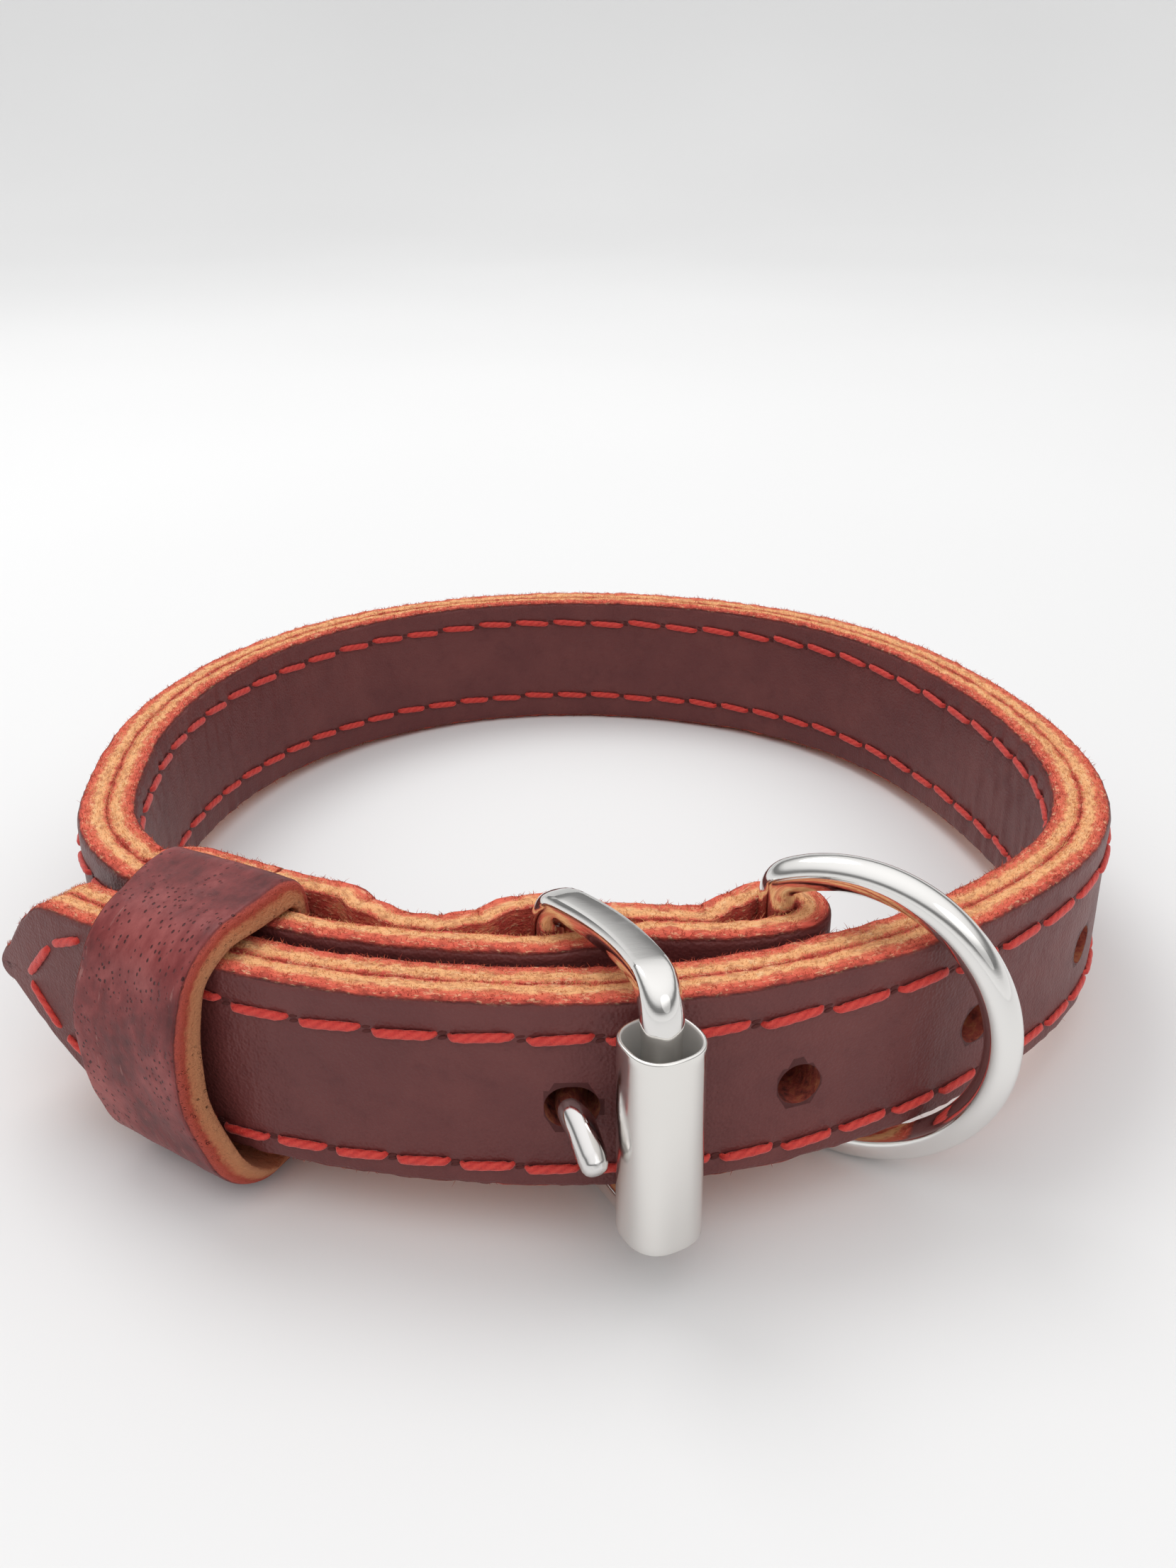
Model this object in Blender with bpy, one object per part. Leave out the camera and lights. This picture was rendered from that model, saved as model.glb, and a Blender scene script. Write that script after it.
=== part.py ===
"""A fastened leather dog collar, standing on its edge as it does on a table.

Two plies of thick leather lie face to face along a seam that winds round the neck opening and laps
over itself at the front. Everything is worked out from that seam: the outer ply folds back round
the bar of the D-ring, the heel bar of the roller buckle sits in the fold, the tongue goes through a
punched hole of the tail, and a loose keeper wraps the tail.

The strap lies level while it is made, with its lower edge at height zero and the middle of the neck
opening at the origin: X runs to the right, Y away from the buckle. The whole collar is then tipped
back a few degrees, until the D-ring and the keeper in front and the strap's back edge share a floor.
"""

import math

import bmesh
import bpy
import numpy as np
from mathutils import Matrix, Vector

MM = 0.001
LAP = 360.0                       # degrees of one turn round the neck

# Leather
STRAP_WIDTH = 25.4 * MM
PLY = 4.1 * MM                    # thickness of one ply
EDGE = 0.8 * MM                   # worn-down corner of a cut edge
GAP = 0.3 * MM                    # air between neighbouring pieces
LOOP_RADIUS = 75.0 * MM           # mean radius of the seam between the plies
LAP_RISE = 1.2 * MM               # the buckle end rides this much above the strap's back
TAIL_SINK = 0.6 * MM              # and the tail hangs this much below it
TIP_LENGTH = 13.0 * MM            # length of the pointed tail end
STATION = 4.0 * MM                # spacing of the sections along the strap
BUTT_GAP = 0.5 * MM               # between the folded end and the lining

# Punched holes
HOLE_DIAMETER = 5.4 * MM
HOLE_PITCH = 25.4 * MM
HOLE_COUNT = 4
HOLE_HEIGHT = 11.0 * MM
HOLE_BEARING = 268.4
SLOT_LENGTH = 13.0 * MM           # for the tongue, in the buckle end
SLOT_HEIGHT = 6.0 * MM

# Keeper
KEEPER_PLY = 3.5 * MM
KEEPER_WIDTH = 19.5 * MM
KEEPER_BEARING = 232.4
KEEPER_HEADROOM = 0.9 * MM
KEEPER_HANG = 3.9 * MM            # room below the strap, where the band sags
KEEPER_FLARE = 2.3 * MM           # how far the front wall stands off at its mouth
KEEPER_CORNER = 4.2 * MM
KEEPER_LEAN = 1.0 * MM            # its lower side is further towards the buckle

# Roller buckle
WIRE = 4.5 * MM                   # diameter of the buckle's wire
HEEL_BEARING = 266.2
ROLLER_BEARING = 275.1
ROLLER_DIAMETER = 9.7 * MM
ROLLER_LENGTH = 25.6 * MM
ROLLER_WALL = 0.55 * MM
ROLLER_DROP = 2.0 * MM            # the roller's lower end, below the strap's edge
ARM_CLEARANCE = 0.6 * MM          # over the buckle end
ARM_HANG = 2.4 * MM               # under the strap
ARM_BOW = 3.6 * MM
HEEL_CORNER = 3.4 * MM
FRONT_CORNER = 4.0 * MM

# Tongue
TONGUE_DIAMETER = 3.7 * MM
TONGUE_BAND = 1.0 * MM            # flattened where it wraps the heel bar
TONGUE_REACH = 8.2 * MM           # out of the hole, along the tongue
TONGUE_DIP = 3.6 * MM

# D-ring
RING_WIRE = 4.5 * MM
RING_BEARING = 291.2
RING_RADIUS = 18.6 * MM           # of the round side, at the middle of the wire
RING_INSET = 10.0 * MM            # from the bar to the middle of the round side
RING_TURN = -28.5                 # where the round side points, degrees from X
RING_CORNER = 3.2 * MM
RING_SINK = 0.4 * MM              # its middle hangs below the strap's

WIRE_SIDES = 12
TUBE_SIDES = 32

# The seam's first turn: bearing from the middle of the opening, share of LOOP_RADIUS
OUTLINE = (
    (211.5, 1.175), (225.0, 1.093), (240.0, 1.050), (255.0, 1.016), (270.0, 0.999), (285.0, 0.996),
    (300.0, 0.998), (315.0, 1.005), (330.0, 1.019), (345.0, 0.996), (360.0, 0.960), (375.0, 0.941),
    (390.0, 0.948), (405.0, 0.966), (420.0, 0.976), (435.0, 0.983), (450.0, 0.995), (465.0, 1.010),
    (480.0, 1.016), (495.0, 1.010), (510.0, 0.993), (525.0, 0.975), (540.0, 0.966), (555.0, 0.974),
)

# The second turn, under the tail: bearing of the tail, spare gap to the tail as a share of PLY,
# share of LAP_RISE
OVERLAP = (
    (211.5, 1.30, 0.15), (216.5, 0.70, 0.25), (223.0, 0.16, 0.40), (231.0, 0.08, 0.60),
    (241.0, 0.04, 0.85), (251.0, 0.04, 1.00), (260.0, 0.04, 1.00), (267.0, 0.10, 1.00),
    (276.0, 0.66, 1.00), (284.5, 0.14, 1.00), (291.2, 0.06, 1.00), (296.0, 0.06, 1.00),
)

# How far the two layers of the buckle end part, between the keeper and the fold: bearing, share
# of the space that the nearest hardware takes
PARTING = (
    (217.5, 0.00, "keeper"), (222.5, 1.04, "keeper"), (241.5, 1.10, "keeper"),
    (246.5, 0.80, "keeper"), (250.8, 0.34, "keeper"), (255.0, 0.00, "heel"), (258.6, 0.36, "heel"),
    (262.0, 0.92, "heel"), (265.2, 1.05, "heel"), (268.4, 1.02, "heel"), (273.2, 0.46, "heel"),
    (277.5, 0.22, "heel"),
    (282.5, 0.22, "ring"), (287.0, 0.72, "ring"), (291.2, 1.00, "ring"),
)

GRAIN_COLOUR = (0.085, 0.030, 0.030, 1.0)
KEEPER_COLOUR = (0.170, 0.045, 0.042, 1.0)
METAL_COLOUR = (0.78, 0.77, 0.75, 1.0)


def smooth_curve(at, knots, values):
    """Heights of the natural cubic through the rows, at each point of `at`."""
    at = np.asarray(at, float)
    knots = np.asarray(knots, float)
    values = np.asarray(values, float)
    span = np.diff(knots)
    count = len(knots)
    matrix = np.eye(count)
    right = np.zeros(count)
    for i in range(1, count - 1):
        matrix[i, i - 1:i + 2] = span[i - 1], 2 * (span[i - 1] + span[i]), span[i]
        right[i] = 6 * ((values[i + 1] - values[i]) / span[i] - (values[i] - values[i - 1]) / span[i - 1])
    bend = np.linalg.solve(matrix, right)
    i = np.clip(np.searchsorted(knots, at) - 1, 0, count - 2)
    a = (knots[i + 1] - at) / span[i]
    b = 1 - a
    cubic = ((a ** 3 - a) * bend[i] + (b ** 3 - b) * bend[i + 1]) * span[i] ** 2 / 6
    return a * values[i] + b * values[i + 1] + cubic


def eased(at, knots, values):
    """Values between the rows, with a level tangent at every row, so nothing overshoots."""
    knots = np.asarray(knots, float)
    values = np.asarray(values, float)
    i = np.clip(np.searchsorted(knots, at) - 1, 0, len(knots) - 2)
    t = np.clip((at - knots[i]) / (knots[i + 1] - knots[i]), 0, 1)
    t = t * t * (3 - 2 * t)
    return values[i] * (1 - t) + values[i + 1] * t


def polar(bearing, radius):
    angle = np.radians(bearing)
    return np.stack([radius * np.cos(angle), radius * np.sin(angle)], -1)


def along_and_inward(points):
    """Unit tangents of a plan line, and its normals to the left of travel."""
    tangent = np.gradient(points, axis=0)
    tangent /= np.linalg.norm(tangent, axis=1)[:, None]
    return tangent, np.stack([-tangent[:, 1], tangent[:, 0]], -1)


class Seam:
    """The line between the plies, from the tail's tip to the D-ring's bar, seen from above."""

    def __init__(self):
        bearings, shares = zip(*OUTLINE)
        radii = [share * LOOP_RADIUS for share in shares]
        tail = np.linspace(bearings[0], 310.0, 400)
        tail_points = polar(tail, smooth_curve(tail, bearings, radii))
        _, tail_inward = along_and_inward(tail_points)
        turn_bearings = list(bearings)
        turn_radii = list(radii)
        for bearing, share, _ in OVERLAP:
            i = np.abs(tail - bearing).argmin()
            point = tail_points[i] + tail_inward[i] * (2 * PLY + 2 * GAP + share * PLY)
            turn_bearings.append(math.degrees(math.atan2(point[1], point[0])) % LAP + LAP)
            turn_radii.append(np.hypot(*point))
        self.bearing = np.linspace(bearings[0], RING_BEARING + LAP, 3600)
        self.points = polar(self.bearing, smooth_curve(self.bearing, turn_bearings, turn_radii))
        self.tangent, self.inward = along_and_inward(self.points)
        steps = np.linalg.norm(np.diff(self.points, axis=0), axis=1)
        self.along = np.concatenate([[0.0], np.cumsum(steps)])
        self.length = self.along[-1]

    def at_bearing(self, bearing):
        """Distance along the seam at which it reaches a bearing."""
        return float(np.interp(bearing, self.bearing, self.along))

    def place(self, distance, offset=0.0):
        """Plan points at distances along the seam, set inward by offset."""
        point = self._read(self.points, distance)
        return point + self._read(self.inward, distance) * np.asarray(offset)[..., None]

    def direction(self, distance):
        return self._read(self.tangent, distance), self._read(self.inward, distance)

    def _read(self, columns, distance):
        return np.stack([np.interp(distance, self.along, columns[:, k]) for k in (0, 1)], -1)

    def rise(self, distance):
        """Height of the strap's lower edge along the seam."""
        knots = [280.0, 295.0, 540.0] + [row[0] + LAP for row in OVERLAP]
        heights = [-TAIL_SINK, 0.0, 0.0] + [row[2] * LAP_RISE for row in OVERLAP]
        return eased(np.interp(distance, self.along, self.bearing), knots, heights)

    def parting(self, distance):
        """Air between the two layers of leather on either side of the seam."""
        sag = KEEPER_WIDTH ** 2 / (8 * LOOP_RADIUS) * 1.2
        space = {
            "keeper": KEEPER_PLY + GAP + sag,
            "heel": WIRE + TONGUE_BAND + 2.5 * GAP,
            "ring": RING_WIRE + 1.5 * GAP,
        }
        knots = [row[0] + LAP for row in PARTING]
        values = [share * space[part] for _, share, part in PARTING]
        bearing = np.interp(distance, self.along, self.bearing)
        return GAP + eased(bearing, knots, values)


def principled(name, colour, roughness, metallic):
    material = bpy.data.materials.new(name)
    material.use_nodes = True
    shader = material.node_tree.nodes["Principled BSDF"]
    shader.inputs["Base Color"].default_value = colour
    shader.inputs["Roughness"].default_value = roughness
    shader.inputs["Metallic"].default_value = metallic
    return material


def make_object(name, points, faces, material, parent, location=(0.0, 0.0, 0.0)):
    """A smooth-shaded object whose faces all point out; points are measured from the bench."""
    mesh = bpy.data.meshes.new(name)
    origin = np.asarray(location, float)
    mesh.from_pydata([tuple(p) for p in np.asarray(points, float) - origin], [], faces)
    shape = bmesh.new()
    shape.from_mesh(mesh)
    bmesh.ops.remove_doubles(shape, verts=shape.verts, dist=1e-6)
    bmesh.ops.recalc_face_normals(shape, faces=shape.faces)
    shape.to_mesh(mesh)
    shape.free()
    mesh.shade_smooth()
    mesh.set_sharp_from_angle(angle=math.radians(40))
    mesh.materials.append(material)
    piece = bpy.data.objects.new(name, mesh)
    bpy.context.collection.objects.link(piece)
    piece.parent = parent
    piece.location = location
    return piece


def skin(rings, closed):
    """Faces over a stack of equal rings: a tube that ends in caps or closes on itself."""
    count = len(rings)
    sides = len(rings[0])
    faces = []
    for i in range(count if closed else count - 1):
        j = (i + 1) % count
        for k in range(sides):
            m = (k + 1) % sides
            faces.append((i * sides + k, i * sides + m, j * sides + m, j * sides + k))
    if not closed:
        faces.append(tuple(range(sides)))
        faces.append(tuple((count - 1) * sides + k for k in range(sides)))
    return np.concatenate(rings), faces


def strap_section(low, high, corner):
    """Section of a ply, as offsets across and heights: a rectangle with its corners worn off."""
    half = PLY / 2
    return (
        (-half, low + corner), (-half + corner, low), (half - corner, low), (half, low + corner),
        (half, high - corner), (half - corner, high), (-half + corner, high), (-half, high - corner),
    )


def ribbon(centre, lows, highs):
    """A ply on edge: its section carried along a plan line."""
    _, left = along_and_inward(centre)
    rings = []
    for point, side, low, high in zip(centre, left, lows, highs):
        corner = min(EDGE, (high - low) * 0.3)
        ring = [(*(point + side * across), height) for across, height in strap_section(low, high, corner)]
        rings.append(np.array(ring))
    return skin(rings, closed=False)


def strap_stations(seam, end):
    """Distances of the sections: close together at the tip and over the buckle end."""
    tip = np.array([0.0, 0.04, 0.12, 0.25, 0.42, 0.62, 0.82, 1.0]) * TIP_LENGTH
    lap = seam.at_bearing(KEEPER_BEARING + LAP - 12.0)
    neck = np.linspace(TIP_LENGTH, lap, round((lap - TIP_LENGTH) / STATION) + 1)[1:]
    if end <= lap:
        return np.concatenate([tip, neck[neck < end - 0.5 * STATION], [end]])
    last = np.linspace(lap, end, round((end - lap) / (0.6 * STATION)) + 1)[1:]
    return np.concatenate([tip, neck, last])


def strap_heights(seam, distance):
    """Lower and upper edge along the strap, drawn together into the tail's point."""
    short = np.clip(distance / TIP_LENGTH, 0.0, 1.0)
    share = np.maximum(1 - (1 - short) ** 1.35, 0.09)
    middle = seam.rise(distance) + STRAP_WIDTH / 2
    return middle - share * STRAP_WIDTH / 2, middle + share * STRAP_WIDTH / 2


def butt_distance(seam):
    """Where the folded end meets the lining, under the keeper."""
    return seam.at_bearing(KEEPER_BEARING + LAP)


def outer_ply(seam, material, stand):
    """From the tip round the neck to the buckle, round the D-ring's bar, and back to the keeper."""
    distance = strap_stations(seam, seam.length)
    lows, highs = strap_heights(seam, distance)
    line = [seam.place(distance, -(PLY + GAP) / 2)]
    axis = ring_axis(seam)
    tangent, inward = seam.direction(seam.length)
    radius = (RING_WIRE + PLY) / 2 + GAP
    turn = np.linspace(-90.0, 90.0, 13)[1:-1]
    bend = [axis + radius * (tangent * math.cos(a) + inward * math.sin(a)) for a in np.radians(turn)]
    line.append(np.array(bend))
    back = np.linspace(seam.length, butt_distance(seam), 36)
    offset = seam.parting(back) + (PLY - GAP) / 2
    line.append(seam.place(back, offset))
    lows_back, highs_back = strap_heights(seam, back)
    lows = np.concatenate([lows, np.full(len(bend), lows[-1]), lows_back])
    highs = np.concatenate([highs, np.full(len(bend), highs[-1]), highs_back])
    points, faces = ribbon(np.concatenate(line), lows, highs)
    return make_object("strap_outer", points, faces, material, stand)


def lining(seam, material, stand):
    """From the tip round the neck to where the folded end begins."""
    distance = strap_stations(seam, butt_distance(seam) - BUTT_GAP)
    lows, highs = strap_heights(seam, distance)
    offset = seam.parting(distance) + (PLY - GAP) / 2
    points, faces = ribbon(seam.place(distance, offset), lows, highs)
    return make_object("strap_lining", points, faces, material, stand)


def cutter(name, points, faces, target, stand):
    """A guide that cuts its shape out of the target."""
    guide = make_object(name, points, faces, None, stand)
    guide.hide_render = True
    guide.display_type = "WIRE"
    cut = target.modifiers.new(name, "BOOLEAN")
    cut.object = guide
    cut.operation = "DIFFERENCE"
    cut.solver = "EXACT"


def punch_points(seam, distance, length, height_low, width, depth_low, depth_high):
    """A rod with round ends, along the strap, running from one depth to another."""
    tangent, inward = seam.direction(distance)
    middle = seam.place(distance)
    straight = max(length - width, 0.0) / 2
    rings = []
    for depth in (depth_low, depth_high):
        ring = []
        for k in range(TUBE_SIDES // 2):
            angle = 2 * math.pi * (k + 0.5) / (TUBE_SIDES // 2)
            across = width / 2 * math.cos(angle)
            across += math.copysign(straight, across)
            spot = middle + tangent * across + inward * depth
            ring.append((*spot, height_low + width / 2 * math.sin(angle)))
        rings.append(np.array(ring))
    return skin(rings, closed=False)


def punch_holes(seam, outer, inner, stand):
    """The round holes of the tail, through both plies."""
    reach = PLY + GAP
    first = seam.at_bearing(HOLE_BEARING)
    for k in range(HOLE_COUNT):
        distance = first + k * HOLE_PITCH
        rod = punch_points(seam, distance, HOLE_DIAMETER, HOLE_HEIGHT, HOLE_DIAMETER, -reach, reach)
        cutter(f"punch_outer_{k + 1}", *rod, outer, stand)
        cutter(f"punch_lining_{k + 1}", *rod, inner, stand)


def cut_slot(seam, outer, stand):
    """The long slot that lets the tongue through the buckle end."""
    distance = seam.at_bearing(HEEL_BEARING + LAP) + TONGUE_DIAMETER / 2
    rod = punch_points(seam, distance, SLOT_LENGTH, HOLE_HEIGHT, SLOT_HEIGHT, -1.3 * PLY, 0.4 * WIRE)
    cutter("slot_guide", *rod, outer, stand)


def tube(path, normal, radii, closed, sides=WIRE_SIDES):
    """Round wire along a path that lies nearly in the plane with the given normal."""
    path = np.asarray(path, float)
    if closed:
        tangent = np.roll(path, -1, axis=0) - np.roll(path, 1, axis=0)
    else:
        tangent = np.gradient(path, axis=0)
    tangent /= np.linalg.norm(tangent, axis=1)[:, None]
    side = np.cross(tangent, normal)
    side /= np.linalg.norm(side, axis=1)[:, None]
    across = np.cross(side, tangent)
    angle = 2 * np.pi * (np.arange(sides) + 0.5) / sides
    rings = []
    for point, a, b, radius in zip(path, side, across, radii):
        rings.append(point + radius * (np.cos(angle)[:, None] * a + np.sin(angle)[:, None] * b))
    return skin(rings, closed)


def rounded_corners(corners, radii, steps):
    """A closed outline through the corners, each rounded to its own radius."""
    corners = [Vector(c) for c in corners]
    outline = []
    for i, (corner, radius) in enumerate(zip(corners, radii)):
        before = (corners[i - 1] - corner).normalized()
        after = (corners[(i + 1) % len(corners)] - corner).normalized()
        half = before.angle(after) / 2
        centre = corner + (before + after).normalized() * (radius / math.sin(half))
        start = (corner + before * (radius / math.tan(half)) - centre).normalized()
        end = (corner + after * (radius / math.tan(half)) - centre).normalized()
        for k in range(steps + 1):
            outline.append(centre + start.slerp(end, k / steps) * radius)
    return outline


def ring_axis(seam):
    """Plan point of the D-ring's bar, which is also its hinge."""
    return seam.place(seam.length, RING_WIRE / 2 + GAP / 2)


def heel_axis(seam):
    return seam.place(seam.at_bearing(HEEL_BEARING + LAP), WIRE / 2 + GAP / 2)


def roller_axis(seam):
    outward = GAP / 2 + PLY + GAP + ROLLER_DIAMETER / 2
    return seam.place(seam.at_bearing(ROLLER_BEARING), -outward)


def top_of_lap(seam):
    return STRAP_WIDTH + LAP_RISE


def buckle_frame(seam, material, stand):
    """Heel bar in the fold, two arms past the strap's edges, and the bar that carries the roller."""
    heel = heel_axis(seam)
    front = roller_axis(seam)
    span = np.linalg.norm(front - heel)
    forward = (front - heel) / span
    sideways = np.array([-forward[1], forward[0]])
    low = -ARM_HANG - WIRE / 2
    high = top_of_lap(seam) + ARM_CLEARANCE + WIRE / 2
    corners = ((0.0, low, 0.0), (span, low, 0.0), (span, high, 0.0), (0.0, high, 0.0))
    radii = (HEEL_CORNER, FRONT_CORNER, FRONT_CORNER, HEEL_CORNER)
    flat = rounded_corners(corners, radii, 6)
    flat = even_out(np.array([tuple(p) for p in flat])[:, :2], 4.0 * MM)
    path = []
    for run, height in flat:
        share = min(max(run / span, 0.0), 1.0)
        spot = heel + forward * run + sideways * (ARM_BOW * 4 * share * (1 - share))
        path.append((*spot, height))
    normal = np.array([*sideways, 0.0])
    points, faces = tube(path, normal, [WIRE / 2] * len(path), closed=True)
    return make_object("buckle_frame", points, faces, material, stand)


def even_out(outline, longest):
    """The closed outline with extra points, so that no side is longer than asked."""
    result = []
    for a, b in zip(outline, np.roll(outline, -1, axis=0)):
        parts = max(1, math.ceil(np.linalg.norm(b - a) / longest))
        result += [a + (b - a) * k / parts for k in range(parts)]
    return result


def roller(seam, material, stand):
    """A thin tube round the front bar, open at both ends."""
    centre = roller_axis(seam)
    low = -ROLLER_DROP
    radius = ROLLER_DIAMETER / 2
    rings = []
    for wall, height in ((0, low), (0, low + ROLLER_LENGTH), (ROLLER_WALL, low + ROLLER_LENGTH), (ROLLER_WALL, low)):
        turn = 2 * np.pi * np.arange(TUBE_SIDES) / TUBE_SIDES
        ring = np.empty((TUBE_SIDES, 3))
        ring[:, 0] = centre[0] + (radius - wall) * np.cos(turn)
        ring[:, 1] = centre[1] + (radius - wall) * np.sin(turn)
        ring[:, 2] = height
        rings.append(ring)
    points, faces = skin(rings, closed=True)
    return make_object("roller", points, faces, material, stand)


def tongue(seam, material, stand):
    """Flat eye round the heel bar, then a round shank out through the hole of the tail."""
    heel = heel_axis(seam)
    hole = seam.at_bearing(HOLE_BEARING)
    exit_point = seam.place(hole, -(GAP / 2 + PLY))
    forward = exit_point - heel
    forward /= np.linalg.norm(forward)
    right = np.array([-forward[1], forward[0]])
    loop = WIRE / 2 + 1.4 * GAP + TONGUE_BAND / 2
    path = []
    halves = []
    for degrees in np.linspace(230.0, 0.0, 15):
        angle = math.radians(degrees)
        spot = heel + loop * (right * math.cos(angle) - forward * math.sin(angle))
        path.append((*spot, HOLE_HEIGHT))
        halves.append((TONGUE_BAND / 2, TONGUE_DIAMETER / 2))
    start = heel + right * loop
    aim = exit_point - start
    aim_length = np.linalg.norm(aim)
    aim /= aim_length
    for share in (0.16, 0.30, 0.45, 0.75, 1.0):
        path.append((*(start + aim * (aim_length * share)), HOLE_HEIGHT))
        swell = min(1.0, share / 0.45)
        thick = TONGUE_BAND / 2 + (TONGUE_DIAMETER - TONGUE_BAND) / 2 * swell
        halves.append((thick, TONGUE_DIAMETER / 2))
    tip_way = aim * 0.92 + right * 0.38
    for share, size in ((0.30, 1.0), (0.55, 0.97), (0.78, 0.93), (0.92, 0.86), (0.98, 0.62), (1.0, 0.30)):
        spot = exit_point + tip_way * (TONGUE_REACH * share)
        path.append((*spot, HOLE_HEIGHT - TONGUE_DIP * share ** 1.5))
        half = TONGUE_DIAMETER / 2 * size
        halves.append((half, half))
    return make_object("tongue", *flat_tube(path, halves), material, stand)


def flat_tube(path, halves):
    """Wire of changing oval section: half thickness in plan, half height upright."""
    path = np.asarray(path, float)
    tangent = np.gradient(path, axis=0)
    tangent /= np.linalg.norm(tangent, axis=1)[:, None]
    side = np.cross(tangent, (0.0, 0.0, 1.0))
    side /= np.linalg.norm(side, axis=1)[:, None]
    upright = np.cross(side, tangent)
    angle = 2 * np.pi * (np.arange(WIRE_SIDES) + 0.5) / WIRE_SIDES
    rings = []
    for point, a, b, (thick, tall) in zip(path, side, upright, halves):
        rings.append(point + thick * np.cos(angle)[:, None] * a + tall * np.sin(angle)[:, None] * b)
    return skin(rings, closed=False)


def d_ring(seam, material, hinge, axis):
    """Round wire, bent to a circle whose one side is cut off by the straight bar."""
    middle = LAP_RISE + STRAP_WIDTH / 2 - RING_SINK
    reach = math.sqrt(RING_RADIUS ** 2 - RING_INSET ** 2)
    open_angle = math.atan2(reach, -RING_INSET)
    sweep = np.linspace(-open_angle, open_angle, 41)
    trim = RING_CORNER / RING_RADIUS * 0.55
    sweep = sweep[(sweep > -open_angle + trim) & (sweep < open_angle - trim)]
    flat = [(RING_INSET + RING_RADIUS * math.cos(a), RING_RADIUS * math.sin(a)) for a in sweep]
    corner = Vector((0.0, reach))
    down = Vector((0.0, -1.0))
    out = (Vector(flat[-1]) - corner).normalized()
    near = (Vector(flat[-1]) - corner).length
    curve = []
    for t in (0.2, 0.4, 0.6, 0.8, 1.0):
        a = corner + out * near * (1 - t)
        b = corner + down * near * t
        curve.append(tuple(a.lerp(b, t)))
    flat += curve
    for share in (0.6, 0.2, -0.2, -0.6):
        flat.append((0.0, (reach - near) * share))
    flat += [(across, -height) for across, height in reversed(curve)]
    turn = math.radians(RING_TURN)
    along = np.array([math.cos(turn), math.sin(turn)])
    path = [(*(axis + along * across), middle + height) for across, height in flat]
    normal = np.array([-along[1], along[0], 0.0])
    points, faces = tube(path, normal, [RING_WIRE / 2] * len(path), closed=True)
    ring = make_object("d_ring", points, faces, material, hinge, location=(*axis, 0.0))
    ring.location = (0.0, 0.0, 0.0)
    return ring


def keeper(seam, material, stand):
    """A straight band of leather round the tail and the buckle end, standing off at its mouth."""
    distance = seam.at_bearing(KEEPER_BEARING)
    tangent, inward = seam.direction(distance)
    centre = seam.place(distance)
    lap = seam.at_bearing(KEEPER_BEARING + LAP)
    to_lap = float((seam.place(lap) - centre) @ inward)
    sag = KEEPER_WIDTH ** 2 / (8 * LOOP_RADIUS)
    front = GAP / 2 + PLY + GAP
    back = -(to_lap - GAP / 2 + GAP + sag)
    top = STRAP_WIDTH + float(seam.rise(lap)) + KEEPER_HEADROOM
    bottom = -KEEPER_HANG
    corners = ((back, bottom * 0.75, 0.0), (front, bottom, 0.0), (front, top, 0.0), (back, top, 0.0))
    radii = (KEEPER_CORNER * 0.3, KEEPER_CORNER, KEEPER_CORNER, KEEPER_CORNER * 0.3)
    inner = even_out(np.array([tuple(p) for p in rounded_corners(corners, radii, 5)])[:, :2], 3.4 * MM)
    inner = np.array(inner)
    step = np.roll(inner, -1, axis=0) - np.roll(inner, 1, axis=0)
    step /= np.linalg.norm(step, axis=1)[:, None]
    outward = np.stack([step[:, 1], -step[:, 0]], -1)
    middle = (top + bottom) / 2
    tall = (top - bottom) / 2
    rings = []
    for share, flare in ((0.0, 0.10), (0.25, 0.16), (0.5, 0.34), (0.75, 0.66), (1.0, 1.0)):
        for wall in (0.0, KEEPER_PLY):
            outline = inner + outward * wall
            belly = np.clip(1 - ((inner[:, 1] - middle) / tall) ** 2, 0, 1)
            belly *= np.clip((inner[:, 0] - back) / (front - back), 0, 1) ** 2
            depth = outline[:, 0] + belly * KEEPER_FLARE * flare
            run = (share - 0.5) * KEEPER_WIDTH - belly * KEEPER_FLARE
            run -= (inner[:, 1] - middle) / tall * KEEPER_LEAN
            spot = centre + tangent * run[:, None] - inward * depth[:, None]
            rings.append(np.column_stack([spot, outline[:, 1]]))
    order = rings[0::2] + rings[1::2][::-1]
    points, faces = skin(order, closed=True)
    return make_object("keeper", points, faces, material, stand)


def bench_points(pieces):
    """Corners of the finished pieces, before the collar is tipped."""
    graph = bpy.context.evaluated_depsgraph_get()
    graph.update()
    found = []
    for piece in pieces:
        ready = piece.evaluated_get(graph)
        spots = np.empty(len(ready.data.vertices) * 3)
        ready.data.vertices.foreach_get("co", spots)
        matrix = np.array(ready.matrix_world)
        found.append(spots.reshape(-1, 3) @ matrix[:3, :3].T + matrix[:3, 3])
    return np.concatenate(found)


def tip_to_floor(points):
    """Angle about X at which the front and the back of the collar stand on one floor."""
    front = points[points[:, 1] < 0]
    back = points[points[:, 1] >= 0]
    angle = 0.0
    for _ in range(30):
        drop = [
            (side[:, 1] * math.sin(angle) + side[:, 2] * math.cos(angle)).min() for side in (front, back)
        ]
        angle += (drop[0] - drop[1]) / (2 * LOOP_RADIUS)
    return angle


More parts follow.
